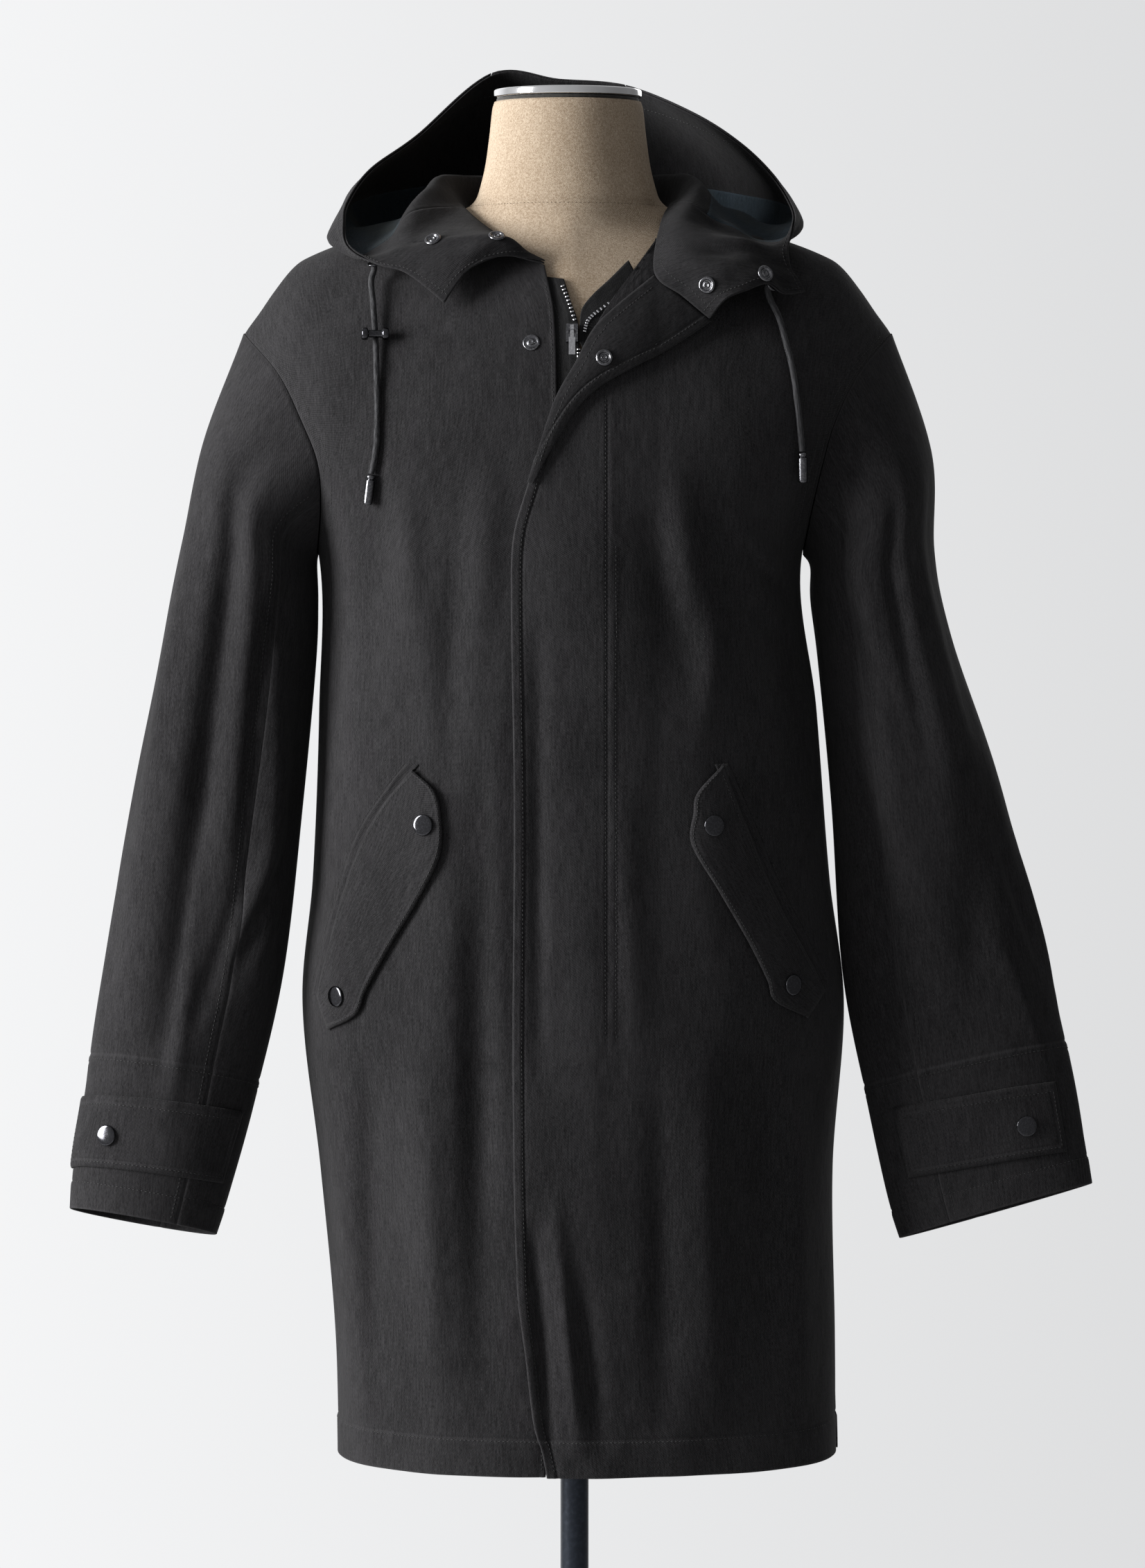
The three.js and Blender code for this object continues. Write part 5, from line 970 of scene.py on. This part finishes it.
def tab_point(side, along, upward, lift):
    a0, a1, low, high, _ = TABS[side]
    angle = mix(a0, a1, along)
    t = mix(mix(*low, along), mix(*high, along), upward)
    p = sleeve_point(side, angle, t)
    da = sleeve_point(side, angle + 1.5, t) - sleeve_point(side, angle - 1.5, t)
    dt = sleeve_point(side, angle, t + 0.015) - sleeve_point(side, angle, t - 0.015)
    n = unit(np.cross(da, dt))
    away = p - sleeve_centre(side, np.broadcast_to(t, p.shape[:-1]))
    n = n * np.sign(np.sum(n * away, -1, keepdims=True))
    return p + n * np.asarray(lift)[..., None], n


CAP_PROFILE = rounded([(0, 0), (6.9, 0), (7.6, 0.5), (7.6, 1.3), (7.0, 1.8), (5.6, 2.0), (3, 2.12), (0, 2.15)])
SLEEVE_LONG = 620                # turns t into mm along the sleeve, near the cuff
CUFF_STITCHES = 19.6             # up from the cuff's edge
TAB_ROWS, TAB_COLS, TAB_STITCHES = 34, 90, 5.2
for side, name in SIDES:
    t = CUFF_ROWS[:, None]
    over_line = (t - CUFF_SEAM[side]) * SLEEVE_LONG
    for part, a0, a1 in (("upper", -100, 120), ("under", 120, 260)):
        ang = np.linspace(a0 + 0.3, a1 - 0.3, int((a1 - a0) / 3))[None]
        grid = sleeve_point(side, ang, t)
        toward = grid - sleeve_centre(side, np.broadcast_to(t, grid.shape[:2]))
        _, down = spans(grid)
        to_cuff = down[-1:] - down
        rise = 0.6 * (1 - step(18.5, 20.5, to_cuff)) - 0.45 * near(to_cuff, CUFF_STITCHES, 1.2) \
            + 0.5 * step(-1.0, 0.6, over_line) - 0.5 * near(over_line, -1.2, 1.3) - 0.3 * near(over_line, 4.6, 1.0)
        seam = np.minimum(border_distance(grid, (0, 1, 2, 3)), np.abs(over_line))
        tree = skin(cloth(f"sleeve_cloth_{name}_{part}", grid, toward, SHELL, TWILL,
                          [f"sleeve_{name}_{part}"], rise=rise, seam=seam))
        above = grid + unit(toward) * ABOVE
        lines = [above[np.argmin(np.abs(over_line[:, 0] - 4))],
                 above[np.argmin(np.abs(to_cuff[:, ang.shape[1] // 2] - CUFF_STITCHES))]]
        if part == "upper":
            lines += [above[4:-3, -3], above[4:-3, 2]]
        for path in lines:
            stitch("topstitching_sleeves", tree, path)

    aa, uu = np.linspace(0, 1, TAB_COLS)[None], np.linspace(0, 1, TAB_ROWS)[:, None]
    grid, n = tab_point(side, aa, uu, np.full((TAB_ROWS, TAB_COLS), TAB_LIFT + TAB_THICK))
    u, v = spans(grid)
    inset = border_distance(grid, (0, 1, 2, 3))
    rise = -0.9 * (1 - step(0, 2.2, inset)) - 0.5 * near(inset, TAB_STITCHES, 0.9) \
        + 0.5 * np.sin(u / 13) * np.sin(v / 11)
    tree = skin(cloth(f"cuff_tab_cloth_{name}", grid, n, TAB_THICK, TWILL, [f"cuff_tab_{name}"], rise=rise,
                      seam=np.abs(inset - 5)))
    e0, h0 = TAB_STITCHES / float(u[:, -1].mean()), TAB_STITCHES / float(v[-1].mean())
    e1, h1 = 1 - e0, 1 - h0
    s = np.linspace(0, 1, 60)
    for start, end in (((e0, h1), (e1, h1)), ((e0, h0), (e1, h0)), ((e0, h0), (e0, h1)), ((e1, h0), (e1, h1))):
        p, _ = tab_point(side, mix(start[0], end[0], s), mix(start[1], end[1], s), np.full(60, 5.5))
        stitch("topstitching_sleeves", tree, p)
    a0, a1, _, _, snap = TABS[side]
    p, n = tab_point(side, np.float64((snap - a0) / (a1 - a0)), np.float64(0.5), TAB_LIFT + TAB_THICK + 0.3)
    lathe(f"cuff_snap_{name}", CAP_PROFILE, p, n, BLACK_METAL, [f"cuff_tab_{name}_snap"])

# ---------------------------------------------------------------- pockets
def strip(path_a, path_b, rows, cols):
    """x and z of a strip of the front from one path to another."""
    t, w = np.linspace(0, 1, rows)[:, None], np.linspace(0, 1, cols)[None]
    xz = mix(along_path(path_a, t), along_path(path_b, t), w[..., None])
    return xz[..., 0], xz[..., 1]


def front_normal(x, z):
    d = 4.0
    n = np.cross(front_point(x + d, z) - front_point(x - d, z), front_point(x, z + d) - front_point(x, z - d))
    return unit(n * -np.sign(n[1]))


OUT = np.array([0, -1, 0.1])
FLAP_ROWS, FLAP_COLS, FLAP_STITCHES = 110, 34, 3.2
for side, name in SIDES:
    edge = WELT[side]
    x, z = strip(edge, [[x - side * WELT_WIDTH, z] for x, z in edge], 90, 10)
    grid = front_point(x, z, LAYER_GAP + 0.45 + WELT_THICK)
    u, v = spans(grid)
    rise = -0.7 * (1 - step(0, 1.6, np.minimum(u, v))) - 0.8 * step(2.6, 5.4, u)
    cloth(f"pocket_welt_cloth_{name}", grid, OUT, WELT_THICK, TWILL, [f"pocket_welt_{name}"], rise=rise,
          seam=u)
    grid = front_point(*strip(*FLAP[side], FLAP_ROWS, FLAP_COLS), FLAP_LIFT + FLAP_THICK)
    u, v = spans(grid)
    inset = border_distance(grid, (2, 3, 1))
    down = np.linspace(0, 1, FLAP_ROWS)[:, None]
    belly = np.sin(np.pi * np.clip(u / np.maximum(u[:, -1:], 1), 0, 1)) * np.sin(np.pi * down)
    rise = -2.3 * (1 - step(0, 3.2, u)) * step(4, 18, v) - 0.8 * (1 - step(0, 1.8, inset)) \
        - 0.45 * near(inset, FLAP_STITCHES, 0.8) + 1.2 * belly * np.clip(u[:, -1:] / 60, 0, 1)
    tree = skin(cloth(f"pocket_flap_cloth_{name}", grid, OUT, FLAP_THICK, TWILL, [f"pocket_flap_{name}"],
                      rise=rise, seam=np.abs(inset - 3)))
    width, ahead = u[:, -1], np.array([0, -3.5, 0])
    rows = [i for i in range(4, FLAP_ROWS - 4) if width[i] > 9]
    end = grid[-7]
    for line in ([mix(grid[i, 0], grid[i, -1], 1 - FLAP_STITCHES / width[i]) + ahead for i in rows],
                 [mix(grid[i, 0], grid[i, -1], 3.0 / width[i]) + ahead for i in rows],
                 [mix(end[0], end[-1], s) + ahead for s in np.linspace(0.14, 0.88, 12)]):
        stitch("topstitching_front", tree, line, 2.8, 2.0)
    line = along_path(edge, np.linspace(0, 1, 80))
    lift = ABOVE + overlap_lift(line[:, 0]) * (side > 0)
    stitch("topstitching_front", SKINS[side], front_point(line[:, 0] + side * 2.4, line[:, 1], lift), 2.8, 2.0)
    for key, (px, pz) in POCKET_SNAPS.items():
        if name in key:
            spot = front_point(px, pz, FLAP_LIFT + FLAP_THICK)
            seat, n, _, _ = tree.find_nearest(Vector((spot + OUT * 3) * MM))
            n = np.array(n) * -np.sign(n[1])
            lathe(key + "_cap", CAP_PROFILE, np.array(seat) / MM + n * 0.15, n, BLACK_METAL, [key])

# ---------------------------------------------------------------- hood
# station, row, half width in stations and in rows, height
HOOD_LUMPS = [[4.9, 6.0, 0.5, 2.0, 5], [6.0, 5.2, 0.5, 2.0, -5], [7.1, 6.4, 0.5, 2.2, 6],
              [8.2, 5.4, 0.5, 2.0, -5], [9.3, 6.4, 0.5, 2.0, 5], [10.3, 5.2, 0.5, 2.0, -5],
              [11.4, 6.2, 0.5, 2.2, 5], [12.4, 5.4, 0.5, 2.0, -6],
              [13.5, 6.2, 0.5, 2.0, 7], [14.4, 5.0, 0.4, 1.6, -7], [15.2, 6.6, 0.4, 1.5, 7], [15.9, 4.6, 0.3, 1.5, -5],
              [17.2, 7.0, 0.5, 1.6, -3], [18.0, 4.4, 0.5, 1.6, 3], [2.2, 7.2, 0.4, 1.6, -2]]


HOOD_STITCHES, TURNED_STITCHES = 6.8, 6.4        # in from the hood's seams and from the turned point's edge


def hood_lump(stations, rows):
    s, r = np.asarray(stations, float)[None], np.asarray(rows, float)[:, None]
    total = 1.35 * sum(h * near(s, s0, ws) * near(r, r0, wr) for s0, r0, ws, wr, h in HOOD_LUMPS)
    return (total + 0.7 * np.sin(s * 5.1) * np.sin(r * 1.3 + s)) * np.sin(np.pi * np.clip(r / 10, 0, 1))


def parted(low, high, last, per_unit):
    """Stations or rows from low to high, held back where another piece begins."""
    gap = 0.012
    return np.linspace(low + (gap if low > 0 else 0), high - (gap if high < last else 0),
                       int((high - low) * per_unit) + 1)


def hood_cloth(name, s0, s1, r0, r1, inner, look, node_name):
    stations, rows = parted(s0, s1, 20, 12), parted(r0, r1, 10, 5)
    grid = hood_grid(stations, rows)
    n = unit(np.cross(np.gradient(grid, axis=0), np.gradient(grid, axis=1)))
    lump = hood_lump(stations, rows)
    edge = border_distance(grid, (0, 1, 2, 3))
    if inner:
        n, thick, rise = -n, LINING, -lump
    else:
        thick, rise = SHELL, lump + (0.5 * (1 - step(5.5, 7.5, edge)) - 0.4 * near(edge, HOOD_STITCHES, 1.1))
    return cloth(name, grid, n, thick, look, [node_name], lift=0.15 + thick, rise=rise, seam=edge), grid, n


def hood_line(made, path):
    """Stitches through a hood piece's own (station share, row share) points."""
    ob, grid, n = made
    rows, cols = grid.shape[:2]
    idx = [(min(rows - 1, round(r * (rows - 1))), min(cols - 1, round(s * (cols - 1)))) for s, r in path]
    stitch("topstitching_hood", skin(ob), [grid[i] + n[i] * 4 for i in idx])


made = {}
# the hood's facing pieces take the darkened facing, which paints the shade inside the hood
for name, *row in (("shell_right", 0, 9, 0, 10, False, TWILL, "hood_side_right"),
                   ("shell_crown", 9, 11, 0, 10, False, TWILL, "hood_crown"),
                   ("shell_left", 11, 20, 0, 10, False, TWILL, "hood_side_left"),
                   ("inside_right", 0, 4, 0, 10, True, FACING_SHADE_DARKENED, "hood_facing_right"),
                   ("inside_left", 16, 20, 0, 10, True, FACING_SHADE_DARKENED, "hood_facing_left"),
                   ("inside_stand", 4, 16, 0, 3, True, FACING_SHADE_DARKENED, "hood_stand_facing"),
                   ("inside_lining", 4, 16, 3, 8, True, DENIM, "hood_lining"),
                   ("inside_band", 4, 16, 8, 10, True, FACING_SHADE_DARKENED, "hood_band_facing")):
    made[name] = hood_cloth("hood_" + name, *row)
for key, s in (("shell_right", 0.965), ("shell_left", 0.035), ("shell_right", 0.04), ("shell_left", 0.965),
               ("inside_right", 0.08), ("inside_left", 0.925)):
    hood_line(made[key], [(s, r) for r in np.linspace(0.02, 0.98, 60)])
for key, r in (("shell_right", 0.94), ("shell_left", 0.94), ("shell_crown", 0.94), ("inside_right", 0.94),
               ("inside_left", 0.94), ("inside_band", 0.72), ("inside_left", 0.07)):
    hood_line(made[key], [(s, r) for s in np.linspace(0.01, 0.99, 140)])

SOCKET = rounded([(0, 0), (5.8, 0), (6.2, 0.35), (6.2, 0.9), (5.6, 1.6), (4.9, 1.8), (4.2, 1.5), (3.7, 0.8),
                  (3.4, 0.45), (2.6, 0.4), (2.3, 0.9), (1.7, 1.15), (1.3, 0.9), (1.1, 0.35), (0, 0.3)])
STUD = rounded([(0, 0), (5.8, 0), (6.2, 0.4), (5.9, 1.1), (5.0, 1.3), (4.2, 0.9), (3.2, 0.8), (2.7, 1.3), (2.3, 1.6),
                (2.5, 2.3), (2.2, 2.9), (1.4, 3.0), (0.8, 2.7), (0, 2.6)])
EYELET = [(3.2, 0), (5.1, 0), (5.2, 0.2), (5.15, 0.5), (4.8, 1.0), (4.3, 1.3), (3.8, 1.2), (3.4, 0.9), (3.2, 0.5),
          (3.2, 0)]
sockets = [f"chin_{side}_socket_{place}" for side in ("left", "right") for place in ("upper", "lower")]
fasteners = [(key, key + "_ring", SOCKET) for key in sockets + ["turned_front_socket"]]
fasteners += [("front_right_stud", "front_stud_post", STUD)]
fasteners += [(key, key + "_ring", EYELET) for key in ("eyelet_right", "eyelet_left")]
for key, name, profile in fasteners:
    lathe(name, profile, *seat_of(key), GUNMETAL, [key])

# ---------------------------------------------------------------- turned front, zip tapes and teeth
# the turned front takes the darkened facing, painted shade
tt, ww = np.linspace(0, 1, 121)[:, None], np.linspace(0, 1, 41)[None]
grid = turned_point(*np.broadcast_arrays(tt, ww))
u, v = spans(grid)
rim = u[:, -1:] - u
rise = 0.5 * (1 - step(5.5, 7, rim)) - 0.45 * near(rim, TURNED_STITCHES, 1.0) + 0.5 * np.sin(v / 17) * np.sin(u / 15)
tree = skin(cloth("turned_facing", grid, np.array([0.3, -1, 0.2]), SHELL, FACING_SHADE_DARKENED, ["front_left_facing"],
                  lift=SHELL, rise=rise, seam=np.minimum(u, rim)))
ahead = [0.5, -5, 1]
stitch("topstitching_front", tree,
       [grid[i, max(1, int(np.searchsorted(u[i], u[i, -1] - TURNED_STITCHES)))] + ahead for i in range(8, 118)])
stitch("topstitching_front", tree,
       [grid[i, min(39, int(np.searchsorted(u[i], 4.5)))] + ahead for i in range(12, 118)])

TOOTH_LIFT, TOOTH_ALONG, TOOTH_ACROSS, TOOTH_OUT, TOOTH_TAPER = 0.6, 0.72, 1.6, 0.9, 0.72
TOOTH_BEVEL = 0.00018                            # metres
BOX = [(-1, -1, -1), (1, -1, -1), (1, 1, -1), (-1, 1, -1), (-1, -1, 1), (1, -1, 1), (1, 1, 1), (-1, 1, 1)]
BOX_FACES = ((0, 3, 2, 1), (4, 5, 6, 7), (0, 1, 5, 4), (1, 2, 6, 5), (2, 3, 7, 6), (3, 0, 4, 7))


def under_front(x):
    return -TAPE_DEPTH


def under_placket(x):
    return overlap_lift(x) - SHELL - LAYER_GAP - 2.4


def teeth(name, path, lift, count):
    """Metal teeth clamped on a tape's edge."""
    xz = along_path(path, (np.arange(count) + 0.5) / count)
    p = front_point(xz[:, 0], xz[:, 1], lift(xz[:, 0]) + TOOTH_LIFT)
    ahead = unit(np.gradient(p, axis=0))
    out = unit(np.array([front_normal(x, z) for x, z in xz]))
    cross = unit(np.cross(out, ahead))
    pts, fcs = [], []
    for q, a, o, c in zip(p, ahead, out, cross):
        s = len(pts)
        for i, j, k in BOX:
            taper = TOOTH_TAPER if k > 0 else 1
            pts.append(q + a * TOOTH_ALONG * i * taper + c * TOOTH_ACROSS * j * taper + o * TOOTH_OUT * k)
        fcs += [[s + i for i in f] for f in BOX_FACES]
    ob = make_mesh(name, pts, fcs, NICKEL, smooth=False)
    bevel = ob.modifiers.new("bevel", "BEVEL")
    bevel.width, bevel.segments = TOOTH_BEVEL, 1


x, z = strip([[x - TAPE_WIDTH, z + 3] for x, z in CHAIN_RIGHT], CHAIN_RIGHT, 120, 30)
dip = 0.8 * np.clip((-11 - x) / 5, 0, 1)         # the tape's sewn side lies deeper
grid = front_point(x, z, -TAPE_DEPTH - dip)
tree = skin(cloth("zip_tape_cloth_right", grid, OUT, TAPE_THICK, TAPE, ["zip_tape_right"],
                  seam=np.abs(spans(grid)[0] - 16)))
stitch("topstitching_front", tree, [grid[i, 11] + OUT * 2 for i in range(2, 118)], 2.6, 1.9, 0.25)
inner = [[x - mix(8, 2, i / 5), z + mix(15, 4, i / 5)] for i, (x, z) in enumerate(CHAIN_LEFT)]
# the left tape runs on 7 mm past its teeth under the turned front: a dark strip that paints the shade in the gap
# between the teeth and the turned front
under = [[x + 3.5, z - 7] for x, z in CHAIN_LEFT]
x, z = strip(inner, under, 70, 16)
cloth("zip_tape_cloth_left", front_point(x, z, under_placket(x)), OUT, TAPE_THICK, TAPE, ["zip_tape_left"])
for name, path, lift, count in (("right", [[-9, 1424], [-4, 1411], [0.5, 1397]], under_front, 10),
                                ("closed", [[3, 1378], [3, 1340], [3, 1298]], under_front, 30),
                                ("left", CHAIN_LEFT[:5], under_placket, 19)):
    teeth(f"zip_teeth_{name}", path, lift, count)

for group, (verts, faces) in THREADS.items():
    make_mesh(group, verts, faces, FLAX if group.startswith("form") else THREAD)

for key, (look, _) in (("zip_slider", GUNMETAL), ("zip_pull_tab", NICKEL)):
    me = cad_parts[key].data
    me.materials.clear()
    me.materials.append(look)

# ---------------------------------------------------------------- stage and light (metres)
FLOOR_REACH, FLOOR_GREY, AIM = 2.2, 0.42, (0, 0, 1.1)
floor_mat, _, shader = new_mat("floor")
shader.inputs["Base Color"].default_value = (FLOOR_GREY, FLOOR_GREY, FLOOR_GREY, 1)
shader.inputs["Roughness"].default_value = 0.9
me = bpy.data.meshes.new("floor")
me.from_pydata([(FLOOR_REACH * math.cos(a), FLOOR_REACH * math.sin(a), 0)
                for a in np.linspace(0, 2 * math.pi, 128, endpoint=False)], [], [range(128)])
me.materials.append(floor_mat)
floor = bpy.data.objects.new("floor", me)
bpy.context.collection.objects.link(floor)

for name, place, size, power in (("key", (-3.1, -1.12, 1.85), (1.3, 2.2), 335),
                                 ("rear", (1.6, 3.4, 2.3), (1.6, 1.6), 26)):
    light = bpy.data.lights.new(name, "AREA")
    light.shape, light.size, light.size_y, light.energy = "RECTANGLE", *size, power
    lamp = bpy.data.objects.new(name, light)
    bpy.context.collection.objects.link(lamp)
    lamp.location = place
    lamp.rotation_euler = (Vector(AIM) - lamp.location).to_track_quat("-Z", "Y").to_euler()
    lamp.visible_camera = False

# a pale room: brightest behind the object, a little brighter on the key's side
WALL_LIGHT, ROOM_LIGHT = (0.39, 0.6), (0.44, 0.25)     # strength in the middle, and its fall towards +x
WALL_SPAN = (0.3, 0.95)                                # where the wall's light sets in, by direction y
world = bpy.data.worlds.new("world")
world.use_nodes = True
t = world.node_tree
way = t.nodes.new("ShaderNodeSeparateXYZ")
t.links.new(t.nodes.new("ShaderNodeTexCoord").outputs["Generated"], way.inputs[0])
behind = t.nodes.new("ShaderNodeMapRange")
behind.interpolation_type = "SMOOTHSTEP"
behind.inputs["From Min"].default_value, behind.inputs["From Max"].default_value = WALL_SPAN
t.links.new(way.outputs[1], behind.inputs["Value"])
add, sub, mul = (partial(calc, t, op) for op in ("ADD", "SUBTRACT", "MULTIPLY"))
wall, room = (sub(middle, mul(way.outputs[0], slope)) for middle, slope in (WALL_LIGHT, ROOM_LIGHT))
t.links.new(add(room, mul(wall, behind.outputs[0])), t.nodes["Background"].inputs["Strength"])
t.nodes["Background"].inputs["Color"].default_value = (0.985, 0.99, 1.0, 1)
bpy.context.scene.world = world
bpy.context.scene.view_settings.view_transform = "Standard"
